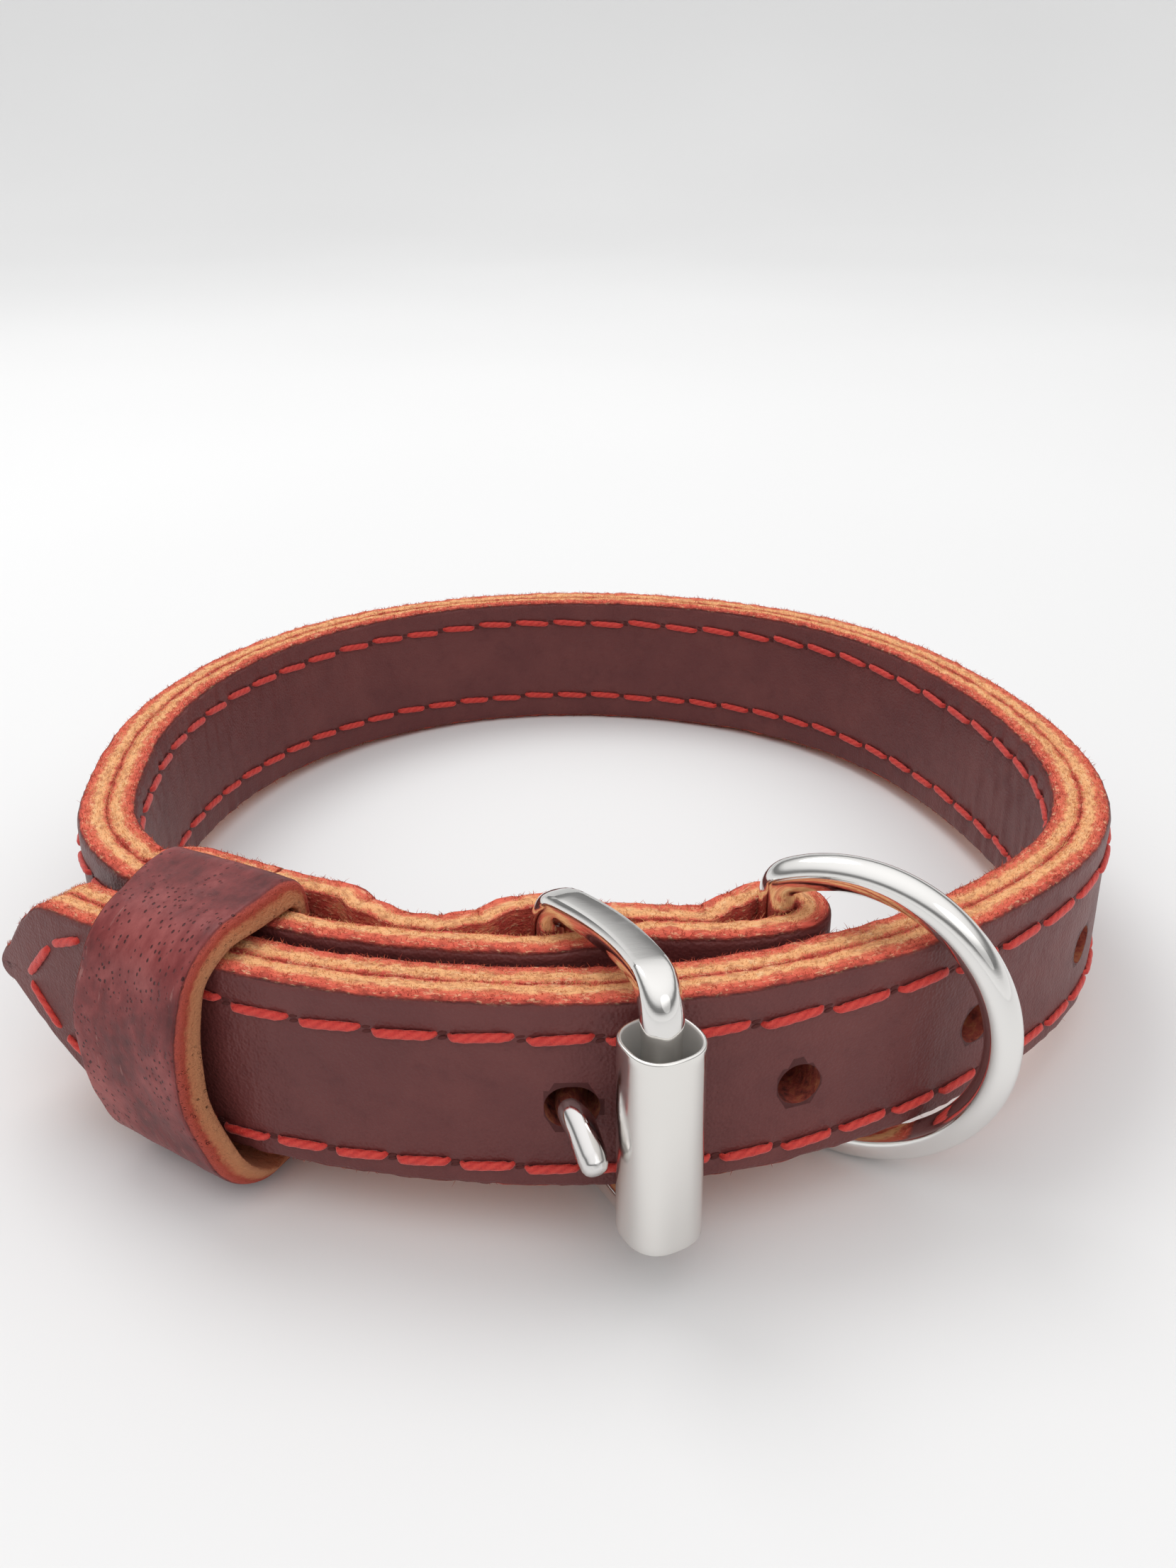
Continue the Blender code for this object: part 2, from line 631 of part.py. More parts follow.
def build():
    for old in list(bpy.data.objects):
        bpy.data.objects.remove(old)
    seam = Seam()
    leather = principled("latigo_outer", GRAIN_COLOUR, 0.45, 0.0)
    inside = principled("latigo_lining", GRAIN_COLOUR, 0.5, 0.0)
    band = principled("keeper_leather", KEEPER_COLOUR, 0.5, 0.0)
    steel = {name: principled(name, METAL_COLOUR, 0.15, 1.0) for name in ("frame", "tube", "pin", "ring")}

    stand = bpy.data.objects.new("stand", None)
    bpy.context.collection.objects.link(stand)
    hinge = bpy.data.objects.new("ring_hinge", None)
    bpy.context.collection.objects.link(hinge)
    hinge.parent = stand
    axis = ring_axis(seam)
    hinge.location = (*axis, 0.0)

    outer = outer_ply(seam, leather, stand)
    inner = lining(seam, inside, stand)
    punch_holes(seam, outer, inner, stand)
    cut_slot(seam, outer, stand)
    pieces = [
        outer,
        inner,
        keeper(seam, band, stand),
        buckle_frame(seam, steel["frame"], stand),
        roller(seam, steel["tube"], stand),
        tongue(seam, steel["pin"], stand),
        d_ring(seam, steel["ring"], hinge, axis),
    ]

    angle = tip_to_floor(bench_points(pieces))
    stand.matrix_world = Matrix.Rotation(angle, 4, "X")
    tipped = bench_points(pieces)
    low, high = tipped.min(axis=0), tipped.max(axis=0)
    move = Vector((-(low[0] + high[0]) / 2, -(low[1] + high[1]) / 2, -low[2]))
    stand.matrix_world = Matrix.Translation(move) @ Matrix.Rotation(angle, 4, "X")
    print("tipped by", round(math.degrees(angle), 3), "degrees; size in mm:", np.round((high - low) / MM, 1))
    print("strap along the seam, mm:", round(seam.length / MM, 1))


build()
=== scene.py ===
# %% [markdown]
# # A fastened leather dog collar
#
# The collar stands on its edge: two plies of thick oiled leather sewn together, a roller buckle, a
# keeper and a D-ring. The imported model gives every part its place. Here each part gets its real
# surface: grain, raw cut edges, thread and polished wire.
#
# The way to do it: nearly everything follows the seam between the two plies, so the seam is worked
# out once, as a plan curve, and each surface is a function of the distance along it.

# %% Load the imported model
import math

import bpy
import numpy as np
from mathutils import Matrix, Vector


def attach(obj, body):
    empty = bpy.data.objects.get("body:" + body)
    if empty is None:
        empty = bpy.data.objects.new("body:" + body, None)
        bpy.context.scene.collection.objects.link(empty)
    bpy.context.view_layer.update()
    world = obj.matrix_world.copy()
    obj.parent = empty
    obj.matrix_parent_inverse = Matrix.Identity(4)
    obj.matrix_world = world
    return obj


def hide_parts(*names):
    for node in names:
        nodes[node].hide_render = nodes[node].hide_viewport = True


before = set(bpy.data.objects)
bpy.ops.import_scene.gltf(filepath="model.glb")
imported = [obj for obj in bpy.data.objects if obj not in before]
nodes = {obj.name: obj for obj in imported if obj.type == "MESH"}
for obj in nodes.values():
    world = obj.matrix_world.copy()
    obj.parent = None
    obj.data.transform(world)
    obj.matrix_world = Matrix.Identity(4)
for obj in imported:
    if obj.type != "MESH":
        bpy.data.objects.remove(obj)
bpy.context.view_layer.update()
print("nodes:", ", ".join(sorted(nodes)))

# %% [markdown]
# ## Sizes
#
# Most of these are the sizes of the solid model, repeated because this script reads nothing but
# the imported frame. A few were judged again on the rendered picture and differ from the solids, such
# as ARM_BOW (the arms of the buckle bow less), LAP_SETTLED (the second turn climbs about a third of
# its rise) and PARTING (the folded end lies closer between the hardware). Lengths are in metres,
# bearings in degrees round the middle of the neck opening.

# %% Sizes of the leather and the hardware
MM = 0.001
LAP = 360.0
STRAP_WIDTH, PLY, GAP = 25.4 * MM, 4.1 * MM, 0.3 * MM
LOOP_RADIUS, LAP_RISE, TAIL_SINK = 75.0 * MM, 1.2 * MM, 0.6 * MM
LAP_SETTLED = 0.35 * LAP_RISE
TIP_LENGTH, BUTT_GAP = 13.0 * MM, 0.5 * MM
HOLE_DIAMETER, HOLE_PITCH, HOLE_COUNT = 5.4 * MM, 25.4 * MM, 4
HOLE_HEIGHT, HOLE_BEARING = 11.0 * MM, 268.4
SLOT_LENGTH, SLOT_HEIGHT = 13.0 * MM, 6.0 * MM
KEEPER_PLY, KEEPER_WIDTH, KEEPER_BEARING = 3.5 * MM, 19.5 * MM, 232.4
KEEPER_HEADROOM, KEEPER_HANG = 0.9 * MM, 3.9 * MM
KEEPER_FLARE, KEEPER_CORNER, KEEPER_LEAN = 2.3 * MM, 4.2 * MM, 1.0 * MM
WIRE, HEEL_BEARING, ROLLER_BEARING = 4.5 * MM, 266.2, 275.1
ROLLER_DIAMETER, ROLLER_LENGTH, ROLLER_WALL = 9.7 * MM, 25.6 * MM, 0.55 * MM
ROLLER_DROP, ARM_CLEARANCE, ARM_HANG = 2.0 * MM, 0.6 * MM, 2.4 * MM
ARM_BOW, HEEL_CORNER, FRONT_CORNER = 1.9 * MM, 3.4 * MM, 4.0 * MM
TONGUE_DIAMETER, TONGUE_BAND = 3.7 * MM, 1.0 * MM
TONGUE_REACH, TONGUE_DIP = 8.2 * MM, 3.6 * MM
RING_WIRE, RING_BEARING, RING_RADIUS = 4.5 * MM, 291.2, 18.6 * MM
RING_INSET, RING_TURN, RING_CORNER, RING_SINK = 10.0 * MM, -28.5, 3.2 * MM, 0.4 * MM

# The seam's first turn: bearing, share of LOOP_RADIUS
OUTLINE = (
    (211.5, 1.175), (225.0, 1.093), (240.0, 1.050), (255.0, 1.016), (270.0, 0.999), (285.0, 0.996),
    (300.0, 0.998), (315.0, 1.005), (330.0, 1.019), (345.0, 0.996), (360.0, 0.960), (375.0, 0.941),
    (390.0, 0.948), (405.0, 0.966), (420.0, 0.976), (435.0, 0.983), (450.0, 0.995), (465.0, 1.010),
    (480.0, 1.016), (495.0, 1.010), (510.0, 0.993), (525.0, 0.975), (540.0, 0.966), (555.0, 0.974),
)
# The second turn, under the tail: bearing, spare gap as a share of PLY, share of LAP_RISE
OVERLAP = (
    (211.5, 1.30, 0.15), (216.5, 0.70, 0.25), (223.0, 0.16, 0.40), (231.0, 0.08, 0.60),
    (241.0, 0.04, 0.85), (251.0, 0.04, 1.00), (260.0, 0.04, 1.00), (267.0, 0.10, 1.00),
    (276.0, 0.66, 1.00), (284.5, 0.14, 1.00), (291.2, 0.06, 1.00), (296.0, 0.06, 1.00),
)
# How far the two layers of the buckle end part: bearing, share of the nearest hardware's space.
# Between the hardware the leather falls back against itself, a little closer than in the solids.
PARTING = (
    (217.5, 0.00, "keeper"), (222.5, 1.04, "keeper"), (241.5, 1.10, "keeper"),
    (245.2, 0.54, "keeper"), (250.2, 0.06, "keeper"), (254.0, 0.00, "heel"), (258.6, 0.30, "heel"),
    (262.0, 0.92, "heel"), (265.2, 1.05, "heel"), (268.4, 1.00, "heel"), (272.6, 0.28, "heel"),
    (277.0, 0.03, "heel"), (282.5, 0.06, "ring"), (287.0, 0.66, "ring"), (291.2, 1.00, "ring"),
)
STAND_TILT = math.radians(-2.95928)
STAND_MOVE = (0.000470623, 0.004250721, 0.004036669)

# %% [markdown]
# ## The seam
#
# Seen from above, a strap is a line. The line here is a smooth cubic through a table of radii, and
# its second turn lies inside the first by the thickness of the leather. Every piece below asks the
# seam for a place at some distance along it and some offset towards the neck.


# %% The seam between the plies
def smooth_curve(at, knots, values):
    """Natural cubic through the rows: bends come from one linear system, then a cubic per span."""
    at, knots, values = (np.asarray(x, float) for x in (at, knots, values))
    span = np.diff(knots)
    count = len(knots)
    slope = np.diff(values) / span
    matrix = np.eye(count)
    right = np.zeros(count)
    inner = np.arange(1, count - 1)
    matrix[inner, inner - 1] = span[:-1]
    matrix[inner, inner] = 2 * (span[:-1] + span[1:])
    matrix[inner, inner + 1] = span[1:]
    right[inner] = 6 * np.diff(slope)
    bend = np.linalg.solve(matrix, right)
    i = np.clip(np.searchsorted(knots, at) - 1, 0, count - 2)
    a = (knots[i + 1] - at) / span[i]
    b = 1 - a
    cubic = ((a ** 3 - a) * bend[i] + (b ** 3 - b) * bend[i + 1]) * span[i] ** 2 / 6
    return a * values[i] + b * values[i + 1] + cubic


def eased(at, knots, values):
    """Between two rows the value runs along 3t^2 - 2t^3, level at both ends."""
    knots, values = np.asarray(knots, float), np.asarray(values, float)
    i = np.clip(np.searchsorted(knots, at) - 1, 0, len(knots) - 2)
    t = np.clip((at - knots[i]) / (knots[i + 1] - knots[i]), 0, 1)
    t = ease(t)
    return values[i] * (1 - t) + values[i + 1] * t


def ease(t):
    return t * t * (3 - 2 * t)


def unit(vectors):
    return vectors / np.linalg.norm(vectors, axis=-1)[..., None]


def run_along(points):
    """Distance travelled at each point of a line."""
    steps = np.linalg.norm(np.diff(points, axis=0), axis=1)
    return np.concatenate([[0.0], np.cumsum(steps)])


def polar(bearing, radius):
    angle = np.radians(bearing)
    return np.stack([radius * np.cos(angle), radius * np.sin(angle)], -1)


def along_and_inward(points):
    """Unit tangents of a plan line, and its normals to the left of travel."""
    tangent = unit(np.gradient(points, axis=0))
    return tangent, np.stack([-tangent[:, 1], tangent[:, 0]], -1)


class Seam:
    """The line between the plies, from the tail's tip to the D-ring's bar, seen from above."""

    def __init__(self):
        bearings, shares = zip(*OUTLINE)
        radii = [share * LOOP_RADIUS for share in shares]
        tail = np.linspace(bearings[0], 310.0, 400)
        tail_points = polar(tail, smooth_curve(tail, bearings, radii))
        _, tail_inward = along_and_inward(tail_points)
        turn_bearings, turn_radii = list(bearings), list(radii)
        for bearing, share, _ in OVERLAP:
            i = np.abs(tail - bearing).argmin()
            point = tail_points[i] + tail_inward[i] * (2 * PLY + 2 * GAP + share * PLY)
            turn_bearings.append(math.degrees(math.atan2(point[1], point[0])) % LAP + LAP)
            turn_radii.append(np.hypot(*point))
        self.bearing = np.linspace(bearings[0], RING_BEARING + LAP, 3600)
        self.points = polar(self.bearing, smooth_curve(self.bearing, turn_bearings, turn_radii))
        self.tangent, self.inward = along_and_inward(self.points)
        self.along = run_along(self.points)
        self.length = self.along[-1]

    def at(self, bearing):
        """Distance along the seam at which it reaches a bearing."""
        return float(np.interp(bearing, self.bearing, self.along))

    def place(self, distance, offset=0.0):
        """Plan points at distances along the seam, set inward by offset."""
        offset = np.asarray(offset)[..., None]
        return self._read(self.points, distance) + self._read(self.inward, distance) * offset

    def direction(self, distance):
        return self._read(self.tangent, distance), self._read(self.inward, distance)

    def _read(self, columns, distance):
        return np.stack([np.interp(distance, self.along, columns[:, k]) for k in (0, 1)], -1)

    def rise(self, distance):
        """Height of the strap's lower edge along the seam."""
        knots = [280.0, 295.0, 540.0] + [row[0] + LAP for row in OVERLAP]
        heights = [-TAIL_SINK, 0.0, 0.0] + [row[2] * LAP_SETTLED for row in OVERLAP]
        return eased(np.interp(distance, self.along, self.bearing), knots, heights)

    def parting(self, distance):
        """Air between the two layers of leather on either side of the seam."""
        sag = KEEPER_WIDTH ** 2 / (8 * LOOP_RADIUS) * 1.2
        space = {
            "keeper": KEEPER_PLY + GAP + sag,
            "heel": WIRE + TONGUE_BAND + 2.5 * GAP,
            "ring": RING_WIRE + 1.5 * GAP,
        }
        knots = [row[0] + LAP for row in PARTING]
        values = [share * space[part] for _, share, part in PARTING]
        return GAP + eased(np.interp(distance, self.along, self.bearing), knots, values)


seam = Seam()
butt = seam.at(KEEPER_BEARING + LAP)
print("strap along the seam:", round(seam.length / MM, 1), "mm")


def stand(points):
    """Points worked out with the strap level, tipped to how the collar stands."""
    points = np.asarray(points, float)
    c, s = math.cos(STAND_TILT), math.sin(STAND_TILT)
    turn = np.array([[1, 0, 0], [0, c, -s], [0, s, c]])
    return points @ turn.T + np.array(STAND_MOVE)


# %% [markdown]
# ## From a grid to a mesh
#
# A surface is a grid of points: rows along the piece, columns round its section. One function turns
# the grid into quads, closes it end to end or caps it, and stores named numbers on the vertices
# which the materials read, such as how deep a point lies in the leather's cut edge.


# %% Grid to mesh
SMOOTH_ANGLE = 38.0


def grid_faces(rows, columns, loop_rows):
    """Quads between neighbouring rows; the columns always close on themselves."""
    i = np.arange(rows if loop_rows else rows - 1)[:, None]
    k = np.arange(columns)[None, :]
    j = (i + 1) % rows
    m = (k + 1) % columns
    quads = [i * columns + k, i * columns + m, j * columns + m, j * columns + k]
    return np.stack([np.broadcast_to(q, (len(i), columns)) for q in quads], -1).reshape(-1, 4)


def grid_mesh(name, grid, loop_rows=False, marks=None):
    """A closed skin over the grid (rows, columns, 3), tipped with the collar."""
    rows, columns = grid.shape[:2]
    faces = grid_faces(rows, columns, loop_rows).tolist()
    if not loop_rows:
        faces.append(list(range(columns))[::-1])
        faces.append(list(range((rows - 1) * columns, rows * columns)))
    return new_mesh(name, grid.reshape(-1, 3), faces, marks)


def add_object(name, data):
    made = bpy.data.objects.new(name, data)
    bpy.context.scene.collection.objects.link(made)
    return made


def new_mesh(name, points, faces, marks=None, smooth=SMOOTH_ANGLE):
    mesh = bpy.data.meshes.new(name)
    mesh.from_pydata(stand(points).tolist(), [], faces)
    for mark, values in (marks or {}).items():
        values = np.asarray(values, float)
        kind = "FLOAT_VECTOR" if values.shape[-1:] == (3,) else "FLOAT"
        layer = mesh.attributes.new(mark, kind, "POINT")
        layer.data.foreach_set("vector" if kind == "FLOAT_VECTOR" else "value", values.ravel())
    volume = signed_volume(mesh)
    if volume < 0:
        mesh.flip_normals()
    mesh.shade_smooth()
    mesh.set_sharp_from_angle(angle=math.radians(smooth))
    piece = add_object(name, mesh)
    mesh.calc_loop_triangles()
    print(f"{name}: {len(mesh.loop_triangles)} triangles, {abs(volume) * 1e6:.2f} cm3")
    return piece


def many_tubes(name, grids, marks=None):
    """One mesh of equal closed tubes: grids (tubes, rows, columns, 3), each with two end caps."""
    count, rows, columns = grids.shape[:3]
    start = np.arange(count)[:, None] * rows * columns
    faces = (grid_faces(rows, columns, False)[None] + start[..., None]).reshape(-1, 4).tolist()
    faces += (start + np.arange(columns)[::-1]).tolist()
    faces += (start + (rows - 1) * columns + np.arange(columns)).tolist()
    return new_mesh(name, grids.reshape(-1, 3), faces, marks, smooth=80.0)


def signed_volume(mesh):
    """Sum over triangles of corner . (corner x corner) / 6: negative when the skin is inside out."""
    mesh.calc_loop_triangles()
    corners = np.empty(len(mesh.loop_triangles) * 3, np.int32)
    mesh.loop_triangles.foreach_get("vertices", corners)
    spots = np.empty(len(mesh.vertices) * 3)
    mesh.vertices.foreach_get("co", spots)
    a, b, c = spots.reshape(-1, 3)[corners.reshape(-1, 3)].transpose(1, 0, 2)
    return float(np.einsum("ij,ij->", a, np.cross(b, c)) / 6)


def lattice(x, y, seed):
    """Soft random heights from -1 to 1: a table of random numbers, eased between its corners."""
    table = np.random.default_rng(seed).uniform(-1, 1, (256, 256))
    xi, yi = np.floor(x).astype(int), np.floor(y).astype(int)
    fx, fy = x - xi, y - yi
    fx, fy = ease(fx), ease(fy)
    a, b = table[xi % 256, yi % 256], table[(xi + 1) % 256, yi % 256]
    c, d = table[xi % 256, (yi + 1) % 256], table[(xi + 1) % 256, (yi + 1) % 256]
    return (a * (1 - fx) + b * fx) * (1 - fy) + (c * (1 - fx) + d * fx) * fy


# %% [markdown]
# ## Shader maths
#
# A finish is a Principled shader whose colour and bump are worked out by nodes. Written as Python
# expressions they stay readable: a small class wraps a socket, and adding or multiplying two of
# them adds the Math node. Everything else comes from one method, which takes a node's type, its
# settings and its inputs.


# %% Finishes as expressions
def rgba(colour):
    return (*colour, 1.0) if isinstance(colour, tuple) else (colour, colour, colour, 1.0)


def set_stops(ramp, stops):
    """Fills a colour ramp from rows of place and colour, or place and grey."""
    for element, (place, colour) in zip(ramp.elements, (stops[0], stops[-1])):
        element.position, element.color = place, rgba(colour)
    for place, colour in stops[1:-1]:
        ramp.elements.new(place).color = rgba(colour)


class Signal:
    """One output socket. Arithmetic on signals adds Math nodes."""

    def __init__(self, finish, socket):
        self.finish, self.socket = finish, socket

    def math(self, operation, *others):
        return self.finish.node("Math", {"operation": operation}, dict(enumerate((self, *others))))

    def __add__(self, other):
        return self.math("ADD", other)

    def __mul__(self, other):
        return self.math("MULTIPLY", other)

    def __sub__(self, other):
        return self.math("SUBTRACT", other)

    def __rsub__(self, other):
        return (self * -1.0) + other

    __radd__, __rmul__ = __add__, __mul__

    def ramp(self, *stops):
        """The signal read as a colour, or as a grey number, between the stops."""
        return self.finish.node("ValToRGB", {"stops": stops}, {0: self})

    def over(self, low, high):
        """0 below low, 1 above high, eased between."""
        settings = {"interpolation_type": "SMOOTHSTEP"}
        return self.finish.node("MapRange", settings, {0: self, 1: low, 2: high})


class Finish:
    """A material under construction."""

    def __init__(self, name, **constants):
        self.material = bpy.data.materials.new(name)
        self.material.use_nodes = True
        self.tree = self.material.node_tree
        self.shader = self.tree.nodes["Principled BSDF"]
        for socket, value in constants.items():
            self.shader.inputs[socket.replace("_", " ")].default_value = value

    def node(self, kind, settings=None, inputs=None, output=0):
        made = self.tree.nodes.new("ShaderNode" + kind)
        for key, value in (settings or {}).items():
            if key == "stops":
                set_stops(made.color_ramp, value)
            else:
                setattr(made, key, value)
        for key, value in (inputs or {}).items():
            if isinstance(value, Signal):
                self.tree.links.new(value.socket, made.inputs[key])
            else:
                made.inputs[key].default_value = value
        return Signal(self, made.outputs[output])

    def mark(self, name):
        """A number stored on the vertices."""
        return self.node("Attribute", {"attribute_name": name}, output="Fac")

    def place(self, name=None):
        """Object coordinates, or a vector stored on the vertices."""
        if name:
            return self.node("Attribute", {"attribute_name": name}, output="Vector")
        return self.node("TexCoord", output="Object")

    def noise(self, vector, size, detail=3.0, roughness=0.55, stretch=None):
        """Cloudy noise whose blotches are about `size` metres."""
        if stretch:
            vector = self.node("Mapping", None, {"Vector": vector, "Scale": stretch})
        inputs = {"Vector": vector, "Scale": 1 / size, "Detail": detail, "Roughness": roughness}
        return self.node("TexNoise", None, inputs)

    def mix(self, factor, a, b):
        """Colour a where the factor is 0, colour b where it is 1."""
        a, b = (rgba(x) if isinstance(x, tuple) else x for x in (a, b))
        return self.node("Mix", {"data_type": "RGBA"}, {0: factor, 6: a, 7: b}, output=2)

    def bump(self, height, distance, strength=1.0, normal=None):
        inputs = {"Height": height, "Distance": distance, "Strength": strength}
        if normal:
            inputs["Normal"] = normal
        return self.node("Bump", None, inputs)

    def paint(self, **signals):
        for socket, signal in signals.items():
            self.tree.links.new(signal.socket, self.shader.inputs[socket.replace("_", " ")])
        return self.material


# %% [markdown]
# ## Leather: oiled grain and raw edges
#
# The face of the leather is smooth and dark oxblood, with fine pores. Where it was cut, the edge is
# raw: the dye has soaked in from the faces, so its colour runs from grain through red to tan and
# back. The mesh stores how deep a point lies in the cut (0 at the grain, 1 at the flesh side), and
# the ramp follows that number, pushed about by noise so that the dye's front is ragged.

# %% Strap leather
GRAIN = (0.128, 0.031, 0.030)
GRAIN_WORN = (0.192, 0.053, 0.047)
GRAIN_DARK = (0.070, 0.015, 0.017)


def strap_leather(name, red_end):
    finish = Finish(name, Specular_IOR_Level=0.34)
    laid = finish.place("laid")
    depth = finish.mark("depth")
    cloud = finish.noise(laid, 0.012, 4.0, 0.6)
    blot = finish.noise(laid, 0.0028, 3.0, 0.6)
    crumb = finish.noise(laid, 0.0007, 4.0, 0.65, stretch=(0.55, 1.0, 1.0))
    pores = finish.node("TexVoronoi", {"feature": "F1"}, {"Vector": laid, "Scale": 1 / 0.00042})
    face = finish.mix(cloud.over(0.30, 0.80) * 0.55, GRAIN, GRAIN_WORN)
    face = finish.mix(blot.over(0.50, 0.85) * 0.35, face, GRAIN_DARK)
    patch = finish.noise(laid, 0.009, 2.0)
    fibres = finish.noise(laid, 0.00045, 3.0, 0.7, stretch=(0.45, 1.0, 1.0))
    ragged = depth + (blot - 0.5) * 0.34 + (crumb - 0.5) * 0.42 + (patch - 0.5) * 0.26
    raw = ragged.ramp(
        (0.0, (0.100, 0.018, 0.019)), (0.09, (0.42, 0.058, 0.042)), (0.24, (0.76, 0.125, 0.080)),
        (0.46, (0.80, 0.190, 0.105)), (0.60, (0.94, 0.500, 0.235)),
        (red_end - 0.12, (0.92, 0.450, 0.205)), (red_end, (0.74, 0.150, 0.090)),
        (1.0, (0.54, 0.075, 0.052)),
    )
    raw = finish.mix(crumb.over(0.52, 0.36) * 0.45, raw, (0.36, 0.070, 0.038))
    raw = finish.mix(fibres.over(0.54, 0.68) * 0.45, raw, (0.98, 0.70, 0.40))
    cut = (depth + (blot - 0.5) * 0.08).over(0.02, 0.12)
    colour = finish.mix(cut, face, raw)
    rough = finish.node("MapRange", None, {0: cut, 3: 0.44, 4: 0.95})
    rough = rough + (blot - 0.5) * 0.14
    crease = finish.noise(laid, 0.0016, 4.0, 0.6, stretch=(1.6, 0.7, 1.0))
    skin = finish.bump(pores * 0.5 + crease, 0.00020, 0.75)
    fibre = finish.bump((crumb * 0.5 + fibres * 0.5) * cut, 0.0008, 1.0, skin)
    return finish.paint(Base_Color=colour, Roughness=rough, Normal=fibre)


outer_finish = strap_leather("oxblood_strap", 0.96)
lining_finish = strap_leather("oxblood_lining", 0.93)
print("strap finishes:", outer_finish.name, lining_finish.name)

# %% [markdown]
# ## The plies
#
# A ply is its section carried along a plan line. The section is a slim rectangle: the grain side has
# well worn corners, the flesh side tight ones, and the cut edge between them is slightly domed. The
# real strap is sewn a few millimetres in from each edge and the thread pulls a furrow into the
# face, so the grid is pushed in there, and the edge between two stitches bulges a little.

# %% Rows of stitches
# face: first hole, spacing, height above the strap's edge, all in millimetres
ROWS = {
    "outer_top": (7.35, 8.45, 20.7),
    "outer_bottom": (1.62, 7.28, 3.1),
    "inner_top": (5.88, 8.32, 21.1),
    "inner_bottom": (6.66, 7.49, 4.9),
}
TIP_SEWN = ((18.7, 22.7), (12.5, 20.1), (6.1, 13.2), (11.8, 6.5), (18.0, 3.3))


def row_height(row, distance):
    """A row keeps its height, but runs a little nearer the upper edge behind the keeper."""
    _, _, height = ROWS[row]
    lift = np.clip((45 * MM - distance) / (25 * MM), 0, 1) * (2.0 if row == "outer_top" else 0.0)
    return (height + lift) * MM


def row_holes(row, start, end):
    """Distances of the needle holes between two ends of the row."""
    first, pitch, _ = ROWS[row]
    k = np.arange(math.ceil((start / MM - first) / pitch), (end / MM - first) / pitch)
    return (first + k * pitch) * MM


# %% [markdown]
# ## Section and point
#
# The grain corners of the real strap are rubbed round and its flesh corners stay sharp. The section
# is one table of columns, so the shape, the colour of the cut edge and the loose fibres all read the
# same numbers. Towards the pointed end the same columns are drawn together.

# %% Section of a ply
UPPER_POINT, LOWER_POINT = 4.4 * MM, 2.0 * MM
# How far a row of thread draws in the face and the edge beside it, in millimetres
FURROW_REACH, SCALLOP_REACH = 0.85, 5.5


def ply_section():
    """Columns of the section: side (+1 upper), depth below the edge, across from flesh (0) to
    grain (1), the section's outward normal, and the mark that tells raw edge from grain."""
    worn, tight, half = 0.95 * MM, 0.18 * MM, STRAP_WIDTH / 2
    face_d = np.concatenate([
        np.linspace(half, 7.0 * MM, 6)[:-1], np.linspace(7.0 * MM, 5.6 * MM, 3)[:-1],
        np.linspace(5.6 * MM, 2.2 * MM, 11)[:-1], np.linspace(2.2 * MM, worn, 4)[:-1],
    ])
    turn = np.radians(np.linspace(0, 90, 6))
    edge_a = np.linspace(PLY - worn, tight, 10)[1:-1]
    back = np.radians(np.linspace(90, 180, 4))
    flesh_d = np.array([1.4 * MM, 6.0 * MM])
    d = np.concatenate([
        face_d, worn * (1 - np.sin(turn)), np.full(len(edge_a), 0.0),
        tight * (1 - np.sin(back)), flesh_d,
    ])
    a = np.concatenate([
        np.full(len(face_d), PLY), PLY - worn + worn * np.cos(turn), edge_a,
        tight + tight * np.cos(back), np.zeros(len(flesh_d)),
    ])
    face_n, edge_n = np.ones(len(face_d)), np.ones(len(edge_a))
    na = np.concatenate([face_n, np.cos(turn), 0 * edge_n, np.cos(back), -np.ones(2)])
    nh = np.concatenate([0 * face_n, np.sin(turn), edge_n, np.sin(back), np.zeros(2)])
    depth = np.clip((PLY - a) / PLY, 0, 1)
    side = np.ones(len(d))
    low = slice(None, None, -1)
    return {
        "side": np.concatenate([side, -side[low]]), "d": np.concatenate([d, d[low]]),
        "a": np.concatenate([a, a[low]]), "na": np.concatenate([na, na[low]]),
        "nh": np.concatenate([nh, -nh[low]]), "depth": np.concatenate([depth, depth[low]]),
    }


def tip_halves(distance):
    """Height above and below the middle over the pointed end, as 1 - (1 - t)^power. The upper side
    swells and the lower one runs straighter; at the very point each is a quarter of a circle."""
    halves = []
    for length, power, radius in (
        (TIP_LENGTH, 1.80, UPPER_POINT), (1.25 * TIP_LENGTH, 1.15, LOWER_POINT),
    ):
        close = np.minimum(distance + 0.05 * MM, radius)
        point = np.sqrt(2 * radius * close - close ** 2)
        share = 1 - (1 - np.clip(distance / length, 0, 1)) ** power
        halves.append(np.maximum(share * STRAP_WIDTH / 2, point))
    return halves


